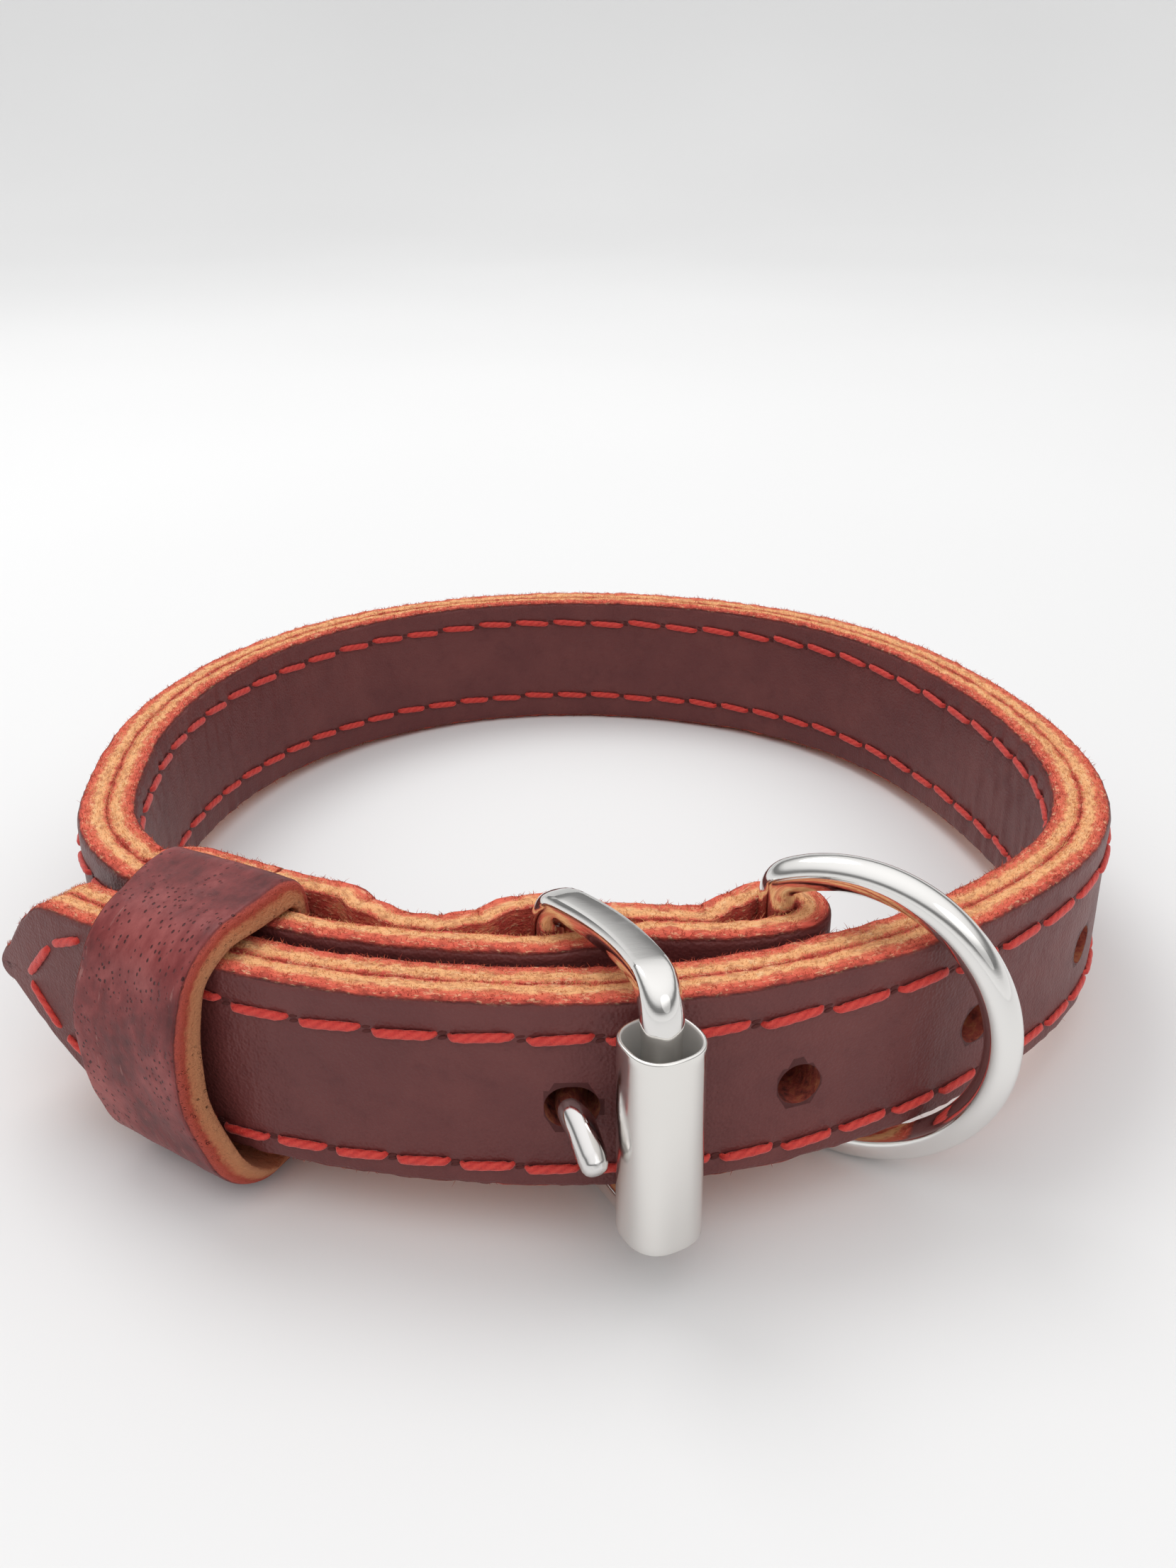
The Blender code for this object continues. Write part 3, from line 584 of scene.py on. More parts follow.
def ply(name, distance, line, grain_side, rows, seed, wrinkle):
    """A ply on edge. distance: along the seam for every station; line: its flesh side in plan."""
    section = ply_section()
    _, left = along_and_inward(line)
    normal = left * grain_side
    above, below = tip_halves(distance)
    half = np.where(section["side"] > 0, above[:, None], below[:, None])
    q = (section["d"] / (STRAP_WIDTH / 2))[None, :]
    near_edge = np.minimum(1.0, half * 0.35 / MM)
    d = section["d"][None, :] * (near_edge * (1 - q) + half / (STRAP_WIDTH / 2) * q)
    middle = seam.rise(distance) + STRAP_WIDTH / 2
    h = section["side"] * (half - d)
    strip = h + STRAP_WIDTH / 2
    run = run_along(line)
    grain = np.clip((section["na"] - 0.5) * 2, 0, 1)[None, :]
    edge = np.clip(np.abs(section["nh"]), 0, 1)[None, :]
    s_mm, h_mm = run[:, None] / MM, strip / MM
    a_mm = section["a"][None, :] / MM * np.ones_like(h_mm)
    push = -0.05 * grain * (1 + lattice(s_mm / 9, h_mm / 9, seed))
    push += 0.035 * grain * lattice(s_mm / 2.3, h_mm / 2.3, seed + 1)
    push += edge * (0.16 * np.sin(np.pi * np.clip(section["a"] / PLY, 0, 1))[None, :] - 0.06)
    push += edge * 0.15 * lattice(s_mm / 1.1, a_mm / 0.8, seed + 2)
    push += edge * 0.10 * lattice(s_mm / 4.0, a_mm / 2.5, seed + 3)
    push += wrinkle(distance)[:, None] * grain * wrinkles(s_mm, h_mm, seed)
    for row in rows:
        first, pitch, _ = ROWS[row]
        away = (strip - row_height(row, distance)[:, None]) / MM
        phase = ((distance / MM - first) / pitch)[:, None]
        beat = 0.5 + 0.5 * np.cos(2 * np.pi * phase)
        sewn_here = np.clip((distance - 17 * MM) / (3 * MM), 0, 1)[:, None]
        push -= sewn_here * grain * np.exp(-(away / FURROW_REACH) ** 2) * (0.14 + 0.13 * beat ** 3)
        scallop = np.exp(-(away / SCALLOP_REACH) ** 2) * (section["side"] > 0) * edge
        push += scallop * wrinkle(distance)[:, None] * (0.10 - 0.42 * beat ** 2)
    push = push * MM * np.clip(half / (5 * MM), 0.2, 1)
    across = section["a"][None, :] + push * section["na"][None, :]
    height = middle[:, None] + h + push * section["nh"][None, :]
    plan = line[:, None, :] + normal[:, None, :] * across[..., None]
    grid = np.concatenate([plan, height[..., None]], -1)
    laid = np.stack(np.broadcast_arrays(s_mm * MM, strip, section["a"][None, :]), -1)
    marks = {"depth": np.broadcast_to(section["depth"], h_mm.shape).ravel(), "laid": laid.reshape(-1, 3)}
    return grid_mesh(name, grid, marks=marks), grid, section


def wrinkles(s_mm, h_mm, seed):
    """Soft upright folds where the face is pressed together: uneven waves along the strap."""
    drift = lattice(s_mm / 14, h_mm / 11, seed + 5) * 3.0
    fold = np.sin(2 * np.pi * (s_mm + drift) / 5.2) + 0.5 * np.sin(2 * np.pi * (s_mm - drift) / 3.1)
    return 0.20 * fold * (0.6 + 0.4 * lattice(s_mm / 6, h_mm / 8, seed + 6))


print("columns in a ply's section:", len(ply_section()["d"]))

# %% [markdown]
# ## The strap's route
#
# The outer leather runs from the tip round the neck, through the buckle, round the D-ring's bar and
# back inside as far as the keeper. The lining stops where that folded end begins. A route is a row
# of stations, each with its distance along the seam, so that a stitch or a hole can be looked up on
# either ply.

# %% Stations along the strap
STEP = 0.6 * MM
# The flesh sides are drawn together until only a thin join shows between them
JOIN, LINING_DRAW = 0.02 * MM, 0.13 * MM


def stations(end):
    """Close together over the tail's point, then one every STEP."""
    tip = TIP_LENGTH * np.linspace(0, 1, 40) ** 1.3
    body = np.linspace(TIP_LENGTH, end, round((end - TIP_LENGTH) / STEP) + 1)[1:]
    return np.concatenate([tip, body])


def ring_axis():
    return seam.place(seam.length, RING_WIRE / 2 + GAP / 2)


def bend_amount(distance):
    """1 on the two tight bends of the neck opening, 0 on its flat stretches."""
    bearing = np.interp(distance, seam.along, seam.bearing)
    right = np.exp(-((bearing - 352.0) / 30.0) ** 2)
    left = np.exp(-((bearing - 540.0) / 30.0) ** 2)
    return right + left + 0.15


def barely_bent(distance):
    return np.full(len(distance), 0.15)


def outer_route():
    """Tip to buckle along the seam, round the D-ring's bar, and back inside as far as the keeper."""
    out = stations(seam.length)
    axis = ring_axis()
    tangent, inward = seam.direction(seam.length)
    turn = np.radians(np.linspace(-90, 90, 26)[1:-1])[:, None]
    bend = axis + (RING_WIRE / 2 + GAP) * (tangent * np.cos(turn) + inward * np.sin(turn))
    back = np.linspace(seam.length, butt, round((seam.length - butt) / STEP))
    folded = seam.place(back, seam.parting(back) - GAP / 2)
    return (out, seam.place(out, -JOIN)), (np.full(len(turn), seam.length), bend), (back, folded)


def lining_route():
    """From the tip to where the folded end begins."""
    distance = stations(butt - BUTT_GAP)
    offset = np.maximum(seam.parting(distance) - GAP / 2 - LINING_DRAW, JOIN)
    return distance, seam.place(distance, offset)


outer_stretches, lining_stretch = outer_route(), lining_route()
outer, outer_grid, ply_columns = ply(
    "outer_leather", *(np.concatenate(part) for part in zip(*outer_stretches)),
    -1.0, ("outer_top", "outer_bottom"), 3, barely_bent)
lining, lining_grid, _ = ply(
    "lining_leather", *lining_stretch, 1.0, ("inner_top", "inner_bottom"), 41, bend_amount)

# %% [markdown]
# ## Punched holes
#
# A hole punch leaves clean round walls, through both plies. A Boolean cut is the right tool: the
# rods carry their own finish, so the walls of the holes show red-brown raw leather.


# %% Punch the holes and the tongue's slot
# The hole in use is drawn long by the tongue: its length along the strap and its width
USED_HOLE = (HOLE_DIAMETER + 1.0 * MM, HOLE_DIAMETER + 0.2 * MM)


def hole_leather():
    finish = Finish("punched_wall", Roughness=0.9)
    spot = finish.place()
    crumb = finish.noise(spot, 0.0007, 4.0, 0.65)
    blot = finish.noise(spot, 0.0022)
    tone = (blot * 0.6 + crumb * 0.4).ramp(
        (0.34, (0.085, 0.016, 0.013)), (0.48, (0.30, 0.050, 0.030)), (0.64, (0.42, 0.150, 0.060)),
    )
    return finish.paint(Base_Color=tone, Normal=finish.bump(crumb, 0.0003))


def rod(distance, length, width, low, high, sides=40):
    """A rod with round ends lying along the strap: a stadium outline at two depths."""
    tangent, inward = seam.direction(distance)
    angle = 2 * np.pi * (np.arange(sides) + 0.5) / sides
    across = width / 2 * np.cos(angle)
    across += np.sign(across) * max(length - width, 0) / 2
    rings = []
    for depth in (low, high):
        plan = seam.place(distance) + inward * depth + across[:, None] * tangent
        rings.append(np.column_stack([plan, HOLE_HEIGHT + width / 2 * np.sin(angle)]))
    return np.stack(rings)


def punch(piece, grids):
    """Cuts all the rods out of the piece at once and keeps the result as its mesh."""
    points, faces, start = [], [], 0
    for grid in grids:
        columns = grid.shape[1]
        faces += (grid_faces(2, columns, False) + start).tolist()
        faces.append([start + k for k in range(columns)][::-1])
        faces.append([start + columns + k for k in range(columns)])
        points.append(grid.reshape(-1, 3))
        start += 2 * columns
    rods = new_mesh("punch_rods", np.concatenate(points), faces)
    rods.data.materials.append(wall_finish)
    cut = piece.modifiers.new("punch", "BOOLEAN")
    cut.object, cut.operation, cut.solver, cut.material_mode = rods, "DIFFERENCE", "EXACT", "TRANSFER"
    graph = bpy.context.evaluated_depsgraph_get()
    ready = bpy.data.meshes.new_from_object(piece.evaluated_get(graph), depsgraph=graph)
    piece.modifiers.clear()
    old = piece.data
    piece.data = ready
    ready.name = piece.name
    bpy.data.meshes.remove(old)
    bpy.data.objects.remove(rods)
    ready.set_sharp_from_angle(angle=math.radians(SMOOTH_ANGLE))
    print(f"{piece.name}: {len(ready.polygons)} faces after punching")


wall_finish = hole_leather()
outer.data.materials.append(outer_finish)
lining.data.materials.append(lining_finish)
first_hole = seam.at(HOLE_BEARING)
reach = PLY + 1.5 * MM
holes = [
    rod(first_hole + k * HOLE_PITCH, 0, HOLE_DIAMETER, -reach, reach) for k in range(1, HOLE_COUNT)
]
holes.append(rod(first_hole, *USED_HOLE, -reach, reach))
slot_at = seam.at(HEEL_BEARING + LAP) + TONGUE_DIAMETER / 2
slot = rod(slot_at, SLOT_LENGTH, SLOT_HEIGHT, -1.3 * PLY, 0.4 * WIRE)
punch(outer, holes + [slot])
punch(lining, holes)

# %% [markdown]
# ## Loose fibres
#
# Thick oiled leather sheds a fine fuzz along every cut. Some twenty-seven thousand short bent
# hairs, each a slim three-sided spike, stand on the raw edges. The upper edges get more of them,
# since that is where a hand rubs the strap.


# %% Fuzz on the raw edges
HAIR_RADIUS = 0.045 * MM
HAIRS_OUTER, HAIRS_LINING = 14000, 13000


def raw_spots(grid, count, rng):
    """Random places on the cut edges: between two stations and two columns of the ply's grid."""
    upright = np.abs(ply_columns["nh"]) > 0.5
    columns = np.flatnonzero(upright & (ply_columns["depth"] > 0.12))
    upper = ply_columns["side"][columns] > 0
    odds = np.where(upper, 5.0, 1.0)
    column = rng.choice(columns, count, p=odds / odds.sum())
    row = rng.integers(0, len(grid) - 1, count)
    share = rng.random((count, 1))
    spots = grid[row, column] * (1 - share) + grid[row + 1, column] * share
    forward = unit(grid[row + 1, column] - grid[row, column])
    upward = np.zeros((count, 3))
    upward[:, 2] = ply_columns["side"][column]
    return spots, forward, np.cross(forward, upward), upward, ply_columns["depth"][column]


def fuzz(name, grid, count, seed):
    """P(t) = spot + L (t up + t^2 lean): a hair starts upright and bends over towards its lean."""
    rng = np.random.default_rng(seed)
    spots, forward, aside, upward, depth = raw_spots(grid, count, rng)
    length = rng.uniform(0.25, 0.72, (count, 1)) ** 1.2 * MM
    lean = forward * rng.normal(0, 0.9, (count, 1)) + aside * rng.normal(0, 0.7, (count, 1))
    start = upward + lean * 0.5
    rings = []
    angle = 2 * np.pi * np.arange(3) / 3
    for t, size in ((-0.15, 1.0), (0.45, 0.8), (1.0, 0.15)):
        middle = spots + length * (t * start * 0.75 + t * t * lean * 0.5)
        spread = forward[:, None] * np.cos(angle)[:, None] + aside[:, None] * np.sin(angle)[:, None]
        rings.append(middle[:, None, :] + HAIR_RADIUS * size * spread)
    grids = np.stack(rings, 1)
    marks = {"depth": np.repeat(depth, grids.shape[1] * grids.shape[2])}
    return many_tubes(name, grids, marks)


def fuzz_finish():
    finish = Finish("loose_fibre", Roughness=0.95, Specular_IOR_Level=0.2)
    blot = finish.noise(finish.place(), 0.004, 3.0)
    tone = (finish.mark("depth") + (blot - 0.5) * 0.7).ramp(
        (0.05, (0.30, 0.045, 0.035)), (0.34, (0.56, 0.110, 0.055)), (0.56, (0.74, 0.400, 0.180)),
        (0.90, (0.70, 0.350, 0.150)), (1.0, (0.46, 0.090, 0.050)),
    )
    return finish.paint(Base_Color=tone)


hairs = [
    fuzz("fibres_outer", outer_grid, HAIRS_OUTER, 21),
    fuzz("fibres_lining", lining_grid, HAIRS_LINING, 22),
]
hair_leather = fuzz_finish()
for piece in hairs:
    piece.data.materials.append(hair_leather)

# %% [markdown]
# ## Thread
#
# The strap is sewn by hand with thick waxed thread. Each stitch comes up out of one awl hole, lies
# along the face a little aslant and dives into the next. Its section is faintly three-lobed and
# turns as it goes, which gives the twist of the yarn. Small dark red lenses at the holes stand for
# the awl's slits; their dark colour is painted shade in the holes.


# %% Stitches
THREAD_RADIUS = 0.60 * MM
TWIST = 5.5 * MM
# Height of the yarn's middle over the grain, in the hole and on the crest, in millimetres
DIVE, CREST = -0.85, 0.13


def grain_face(*stretches):
    """A lookup for points over the grain side of a ply, from stretches of (distance, line, side)."""
    rows = []
    for distance, line, side in stretches:
        _, left = along_and_inward(line)
        rows.append(np.column_stack([distance, line + left * side * PLY, left * side]))
    rows = np.concatenate(rows)
    rows = rows[np.argsort(rows[:, 0], kind="stable")]

    def face(distance, height, lift):
        x, y, out_x, out_y = (np.interp(distance, rows[:, 0], rows[:, k]) for k in range(1, 5))
        return np.stack([x + out_x * lift, y + out_y * lift, height + seam.rise(distance)], -1)

    return face


outside = grain_face((*outer_stretches[0], -1.0))
inside = grain_face((*lining_stretch, 1.0), (*outer_stretches[2], -1.0))


def stitch_table(side):
    """Ends of every stitch on a side: start distance and height, end distance and height."""
    end = seam.length - 4 * MM
    pairs = []
    for row, from_mm, slant in ((side + "_top", 19.5, 0.32), (side + "_bottom", 17.0, 0.22)):
        holes_at = row_holes(row, from_mm * MM, end)
        for a, b in zip(holes_at[:-1], holes_at[1:]):
            if side == "inner" and (a < butt + 3 * MM and b > butt - 3 * MM):
                continue
            ha, hb = (float(row_height(row, np.array([x]))[0]) for x in (a, b))
            pairs.append((a, ha - slant * MM, b, hb + slant * MM))
    for (sa, ha), (sb, hb) in zip(TIP_SEWN[:-1], TIP_SEWN[1:]):
        pairs.append((sa * MM, ha * MM, sb * MM, hb * MM))
    return np.array(pairs)


def stitches(name, side, face, seed):
    """P(t) runs from hole to hole; its lift eases from DIVE to CREST over min(t, 1 - t) / 0.13.
    Round it the radius is R (1 + 0.055 cos 3(angle - turn)), where turn grows along the thread."""
    pairs = stitch_table(side)
    rng = np.random.default_rng(seed)
    wander = rng.normal(0, 0.12 * MM, (len(pairs), 2))
    dive = np.linspace(0, 0.16, 6)
    t = np.concatenate([dive, np.linspace(0.16, 0.84, 12)[1:-1], 1 - dive[::-1]])
    inset = 0.30 * MM
    run = pairs[:, 2] - pairs[:, 0]
    climb = pairs[:, 3] - pairs[:, 1]
    span = np.hypot(run, climb)
    share = (inset / span)[:, None] * (1 - 2 * t) + t
    distance = pairs[:, :1] + run[:, None] * share
    height = pairs[:, 1:2] + wander[:, :1] + (climb + wander[:, 1])[:, None] * share
    x = np.clip(np.minimum(t, 1 - t) / 0.13, 0, 1)
    lift = (DIVE + (CREST - DIVE) * ease(x))[None, :] * MM
    lift = lift + rng.normal(0, 0.03 * MM, (len(pairs), 1))
    path = face(distance, height, lift)
    beyond = face(distance, height, lift + MM)
    out = (beyond - path) / MM
    forward = unit(np.gradient(path, axis=1))
    aside = unit(np.cross(forward, out))
    out = np.cross(aside, forward)
    count = 12
    angle = 2 * np.pi * np.arange(count) / count
    turn = (span[:, None] * t / TWIST * 2 * np.pi + rng.uniform(0, 6, (len(pairs), 1)))[..., None]
    lobes = np.cos(3 * (angle - turn))
    radius = THREAD_RADIUS * (1 + 0.055 * lobes)
    ends = (0.34 + 0.66 * np.clip(np.minimum(t, 1 - t) / 0.22, 0, 1) ** 0.6)[None, :, None]
    ring = (radius * ends)[..., None] * (
        np.cos(angle)[:, None] * aside[:, :, None, :] + 0.70 * np.sin(angle)[:, None] * out[:, :, None, :])
    grid = path[:, :, None, :] + ring
    marks = {"ply_twist": np.broadcast_to(lobes, grid.shape[:3]).ravel()}
    return many_tubes(name, grid, marks)


def awl_holes(name, side, face):
    """A flat lens, 1.1 by 0.5 millimetres, aslant over each hole: a squashed sphere grid."""
    pairs = stitch_table(side)
    spots = np.unique(np.round(np.concatenate([pairs[:, :2], pairs[:, 2:]]) / MM, 2), axis=0) * MM
    v = np.linspace(0, np.pi, 6)[1:-1]
    u = 2 * np.pi * np.arange(12) / 12
    x = np.sin(v)[:, None] * np.cos(u)
    y = np.sin(v)[:, None] * np.sin(u)
    z = np.cos(v)[:, None] * np.ones(12)
    along = 0.55 * MM * x - 0.10 * MM * y
    up = 0.24 * MM * y + 0.16 * MM * x
    distance = spots[:, 0, None, None] + along
    height = spots[:, 1, None, None] + up
    grid = face(distance, height, np.broadcast_to(-0.26 * MM + 0.10 * MM * z, distance.shape))
    return many_tubes(name, grid)


def thread_finish():
    """Red waxed yarn, with painted shade in the grooves of the twist and painted light on its crests."""
    finish = Finish("waxed_thread", Sheen_Weight=0.25, Sheen_Roughness=0.4)
    groove = finish.mark("ply_twist")
    spot = finish.place()
    fibre = finish.noise(spot, 0.00025, 2.0)
    blot = finish.noise(spot, 0.003)
    # The twist's lobes tint the yarn: painted shade in its grooves, painted light on its crests.
    tone = (groove * 0.14 + fibre * 0.55 + 0.22).ramp(
        (0.12, (0.30, 0.010, 0.008)), (0.42, (0.60, 0.026, 0.018)), (0.72, (0.72, 0.065, 0.042)),
    )
    tone = finish.mix(blot.over(0.5, 0.8) * 0.35, tone, (0.36, 0.02, 0.016))
    strands = finish.bump(fibre, 0.00012)
    return finish.paint(Base_Color=tone, Roughness=0.45 + fibre * 0.3, Normal=strands)


thread = thread_finish()
# The lenses' dark red is painted shade in the awl holes.
awl_shade = Finish("awl_slit", Roughness=0.9, Base_Color=(0.085, 0.015, 0.013, 1)).material
sewn = [
    stitches("stitches_outside", "outer", outside, 11),
    stitches("stitches_inside", "inner", inside, 12),
]
slits = [
    awl_holes("awl_slits_outside", "outer", outside), awl_holes("awl_slits_inside", "inner", inside),
]
for piece in sewn:
    piece.data.materials.append(thread)
for piece in slits:
    piece.data.materials.append(awl_shade)

# %% [markdown]
# ## Keeper
#
# The keeper is a plain band of thick leather, redder than the strap, with open pores and light
# scratches. It sags below the strap and its mouth stands off towards the buckle. Its outline starts
# from the solid's rounded rectangle, and the wall is drawn thinner where it bends round the two
# front corners. Across the width a second, thin rounded rectangle gives it two faces and two raw
# rims, and the rim of the mouth is cut on a bevel.


# %% Keeper
def rounded_corners(corners, radii, steps):
    """A closed outline with an arc at each corner, tangent to both sides."""
    outline = []
    corners = [Vector(c) for c in corners]
    for i, (corner, radius) in enumerate(zip(corners, radii)):
        before = (corners[i - 1] - corner).normalized()
        after = (corners[(i + 1) % len(corners)] - corner).normalized()
        half = before.angle(after) / 2
        centre = corner + (before + after).normalized() * (radius / math.sin(half))
        start = (corner + before * (radius / math.tan(half)) - centre).normalized()
        end = (corner + after * (radius / math.tan(half)) - centre).normalized()
        outline += [centre + start.slerp(end, k / steps) * radius for k in range(steps + 1)]
    return np.array([tuple(p) for p in outline])[:, :2]


def evenly(outline, count):
    """The closed outline resampled at equal steps of arc length."""
    ring = np.concatenate([outline, outline[:1]])
    run = run_along(ring)
    at = np.linspace(0, run[-1], count, endpoint=False)
    return np.stack([np.interp(at, run, ring[:, k]) for k in (0, 1)], -1), at


MOUTH_BEVEL = 1.3 * MM
# The bends of the band, at the shoulder and at the foot: how far they reach along the outline, how
# much thinner the leather is there, and how far the shoulder draws the narrow rim along the strap
SHOULDER_REACH, FOOT_REACH = 9 * MM, 7 * MM
SHOULDER_THIN, FOOT_THIN, SHOULDER_DRAW = 1.9 * MM, 1.5 * MM, 2.2 * MM


def build_keeper():
    distance = seam.at(KEEPER_BEARING)
    tangent, inward = seam.direction(distance)
    centre = seam.place(distance)
    lap = seam.at(KEEPER_BEARING + LAP)
    to_lap = float((seam.place(lap) - centre) @ inward)
    sag = KEEPER_WIDTH ** 2 / (8 * LOOP_RADIUS)
    front = GAP / 2 + PLY + GAP
    back = -(to_lap - GAP / 2 + GAP + sag)
    top = STRAP_WIDTH + float(seam.rise(lap)) + KEEPER_HEADROOM
    bottom = -KEEPER_HANG
    corners = ((back, bottom * 0.75, 0.0), (front, bottom, 0.0), (front, top, 0.0), (back, top, 0.0))
    radii = (KEEPER_CORNER * 0.3, KEEPER_CORNER, KEEPER_CORNER, KEEPER_CORNER * 0.3)
    inner, run = evenly(rounded_corners(corners, radii, 16), 260)
    step = np.roll(inner, -1, axis=0) - np.roll(inner, 1, axis=0)
    outward = np.stack([step[:, 1], -step[:, 0]], -1)
    for _ in range(14):
        outward = unit(outward + np.roll(outward, 1, axis=0) + np.roll(outward, -1, axis=0))
    middle, tall = (top + bottom) / 2, (top - bottom) / 2
    belly = np.clip(1 - ((inner[:, 1] - middle) / tall) ** 2, 0, 1)
    belly *= np.clip((inner[:, 0] - back) / (front - back), 0, 1) ** 2
    share, wall, depth = keeper_section()
    flare = np.interp(share, (0, 0.25, 0.5, 0.75, 1), (0.10, 0.16, 0.34, 0.66, 1.0))
    s_mm, w_mm = run[:, None] / MM, (share * KEEPER_WIDTH)[None, :] / MM
    skin = np.clip(wall * 2 - 1, 0, 1)[None, :]
    push = skin * (0.10 * lattice(s_mm / 7, w_mm / 7, 61) + 0.05 * lattice(s_mm / 2, w_mm / 2, 62))
    rim = np.clip(np.abs(share - 0.5) * 2, 0, 1)[None, :] ** 8
    wave = rim * 0.25 * lattice(s_mm / 5, np.full_like(s_mm, 3.3), 63) * np.sign(share - 0.5)[None, :]
    to_shoulder = np.hypot(inner[:, 0] - front, inner[:, 1] - top) / SHOULDER_REACH
    shoulder = np.exp(-to_shoulder ** 2)[:, None]
    to_foot = np.hypot(inner[:, 0] - front, inner[:, 1] - bottom) / FOOT_REACH
    foot = np.exp(-to_foot ** 2)[:, None] * (1 - 0.6 * share)
    thinned = shoulder * (SHOULDER_THIN - 0.8 * MM * share) + foot * FOOT_THIN
    wall_m = wall[None, :] * (KEEPER_PLY - thinned) + push * MM
    outline = inner[:, None, :] + outward[:, None, :] * wall_m[..., None]
    away = outline[..., 0] + belly[:, None] * KEEPER_FLARE * flare[None, :]
    along = (share - 0.5)[None, :] * KEEPER_WIDTH - (belly * KEEPER_FLARE)[:, None] + wave * MM
    along = along - ((inner[:, 1] - middle) / tall)[:, None] * KEEPER_LEAN
    along += shoulder * (1 - share)[None, :] * SHOULDER_DRAW
    mouth = np.clip((share - 0.90) / 0.10, 0, 1)[None, :]
    along += mouth * (1 - wall)[None, :] * (1 + 1.3 * np.exp(-to_foot ** 2)[:, None]) * MOUTH_BEVEL
    plan = centre + tangent * along[..., None] - inward * away[..., None]
    grid = np.concatenate([plan, outline[..., 1][..., None]], -1)
    laid = np.stack(np.broadcast_arrays(s_mm * MM, w_mm * MM, wall[None, :] * KEEPER_PLY), -1)
    marks = {"depth": np.broadcast_to(depth, grid.shape[:2]).ravel(), "laid": laid.reshape(-1, 3)}
    return grid_mesh("keeper_band", grid, loop_rows=True, marks=marks)


def keeper_section():
    """A thin rounded rectangle across the band: share of its width, share of its wall, and the
    mark that runs from 0 on the grain over the rim to 1 on the flesh."""
    r_out, r_in = 0.75 * MM, 0.35 * MM
    w, t = KEEPER_WIDTH, KEEPER_PLY
    quarter = np.radians(np.linspace(0, 90, 6))
    face = np.linspace(r_out, w - r_out, 26)
    x = [face, w - r_out + r_out * np.sin(quarter)[1:], np.full(4, w), w - r_in + r_in * np.cos(quarter),
         np.linspace(w - r_in, r_in, 12)[1:-1], r_in - r_in * np.sin(quarter), np.zeros(4),
         r_out - r_out * np.cos(quarter)[:-1]]
    y = [np.full(26, t), t - r_out + r_out * np.cos(quarter)[1:], np.linspace(t - r_out, r_in, 6)[1:-1],
         r_in - r_in * np.sin(quarter), np.zeros(10), r_in - r_in * np.cos(quarter),
         np.linspace(r_in, t - r_out, 6)[1:-1], t - r_out + r_out * np.sin(quarter)[:-1]]
    x, y = np.concatenate(x), np.concatenate(y)
    return x / w, y / t, np.clip((t - y) / t, 0, 1)


def keeper_leather():
    """Mottled red-brown grain with pores and scratches, the pores darkened as painted shade; red and
    suede-brown where it is cut.
    """
    finish = Finish("keeper_grain", Specular_IOR_Level=0.24)
    laid = finish.place("laid")
    depth = finish.mark("depth")
    cloud = finish.noise(laid, 0.013, 3.0, 0.6)
    blot = finish.noise(laid, 0.0016, 4.0, 0.65)
    crumb = finish.noise(laid, 0.0007, 4.0, 0.65)
    pores = finish.node("TexVoronoi", {"feature": "F1"}, {"Vector": laid, "Scale": 1 / 0.00075})
    prick = pores.over(0.28, 0.14) * cloud.over(0.38, 0.56)
    lines = finish.noise(laid, 0.004, 2.0, 0.5, stretch=(0.35, 3.0, 1.0))
    scratch = lines.over(0.66, 0.70) * blot.over(0.45, 0.6)
    face = (cloud * 0.72 + blot * 0.28).ramp(
        (0.36, (0.090, 0.014, 0.015)), (0.50, (0.205, 0.036, 0.036)), (0.64, (0.340, 0.085, 0.080)),
    )
    # Near-black pores: painted shade in the pits of the grain.
    face = finish.mix(prick * 0.85, face, (0.030, 0.008, 0.009))
    face = finish.mix(scratch * 0.35, face, (0.42, 0.22, 0.19))
    ragged = depth + (blot - 0.5) * 0.22 + (crumb - 0.5) * 0.30
    raw = ragged.ramp(
        (0.0, (0.26, 0.050, 0.044)), (0.12, (0.46, 0.085, 0.060)), (0.34, (0.42, 0.070, 0.042)),
        (0.50, (0.54, 0.200, 0.095)), (0.75, (0.52, 0.220, 0.105)), (1.0, (0.40, 0.155, 0.080)),
    )
    cut = (depth + (blot - 0.5) * 0.05).over(0.02, 0.08)
    colour = finish.mix(cut, face, raw)
    rough = finish.node("MapRange", None, {0: cut, 3: 0.42, 4: 0.92}) + (blot - 0.5) * 0.15
    dents = finish.bump(blot * 0.5 - prick * 1.2 - scratch * 0.3, 0.00022, 0.8)
    suede = finish.bump(crumb * cut, 0.0009, 1.0, dents)
    return finish.paint(Base_Color=colour, Roughness=rough, Normal=suede)


keeper_band = build_keeper()
keeper_band.data.materials.append(keeper_leather())

# %% [markdown]
# ## Polished wire
#
# The hardware is bent from round wire and polished, so it is all reflection. A wire is a circle
# carried along a smooth path; the arms of the buckle are hammered slightly flat on top. The roller is
# a thin tube pressed slightly square, polished outside and duller inside.


# %% Wire along a path
def sweep(path, normal, thick, tall, closed, sides=28):
    """An oval section along a path: thick lies in the plane of the path, tall across it."""
    if closed:
        tangent = np.roll(path, -1, axis=0) - np.roll(path, 1, axis=0)
    else:
        tangent = np.gradient(path, axis=0)
    tangent = unit(tangent)
    side = unit(np.cross(tangent, normal))
    across = np.cross(side, tangent)
    angle = 2 * np.pi * (np.arange(sides) + 0.5) / sides
    thick, tall = (np.broadcast_to(x, len(path))[:, None, None] for x in (thick, tall))
    return path[:, None, :] + thick * np.cos(angle)[:, None] * side[:, None, :] \
        + tall * np.sin(angle)[:, None] * across[:, None, :]


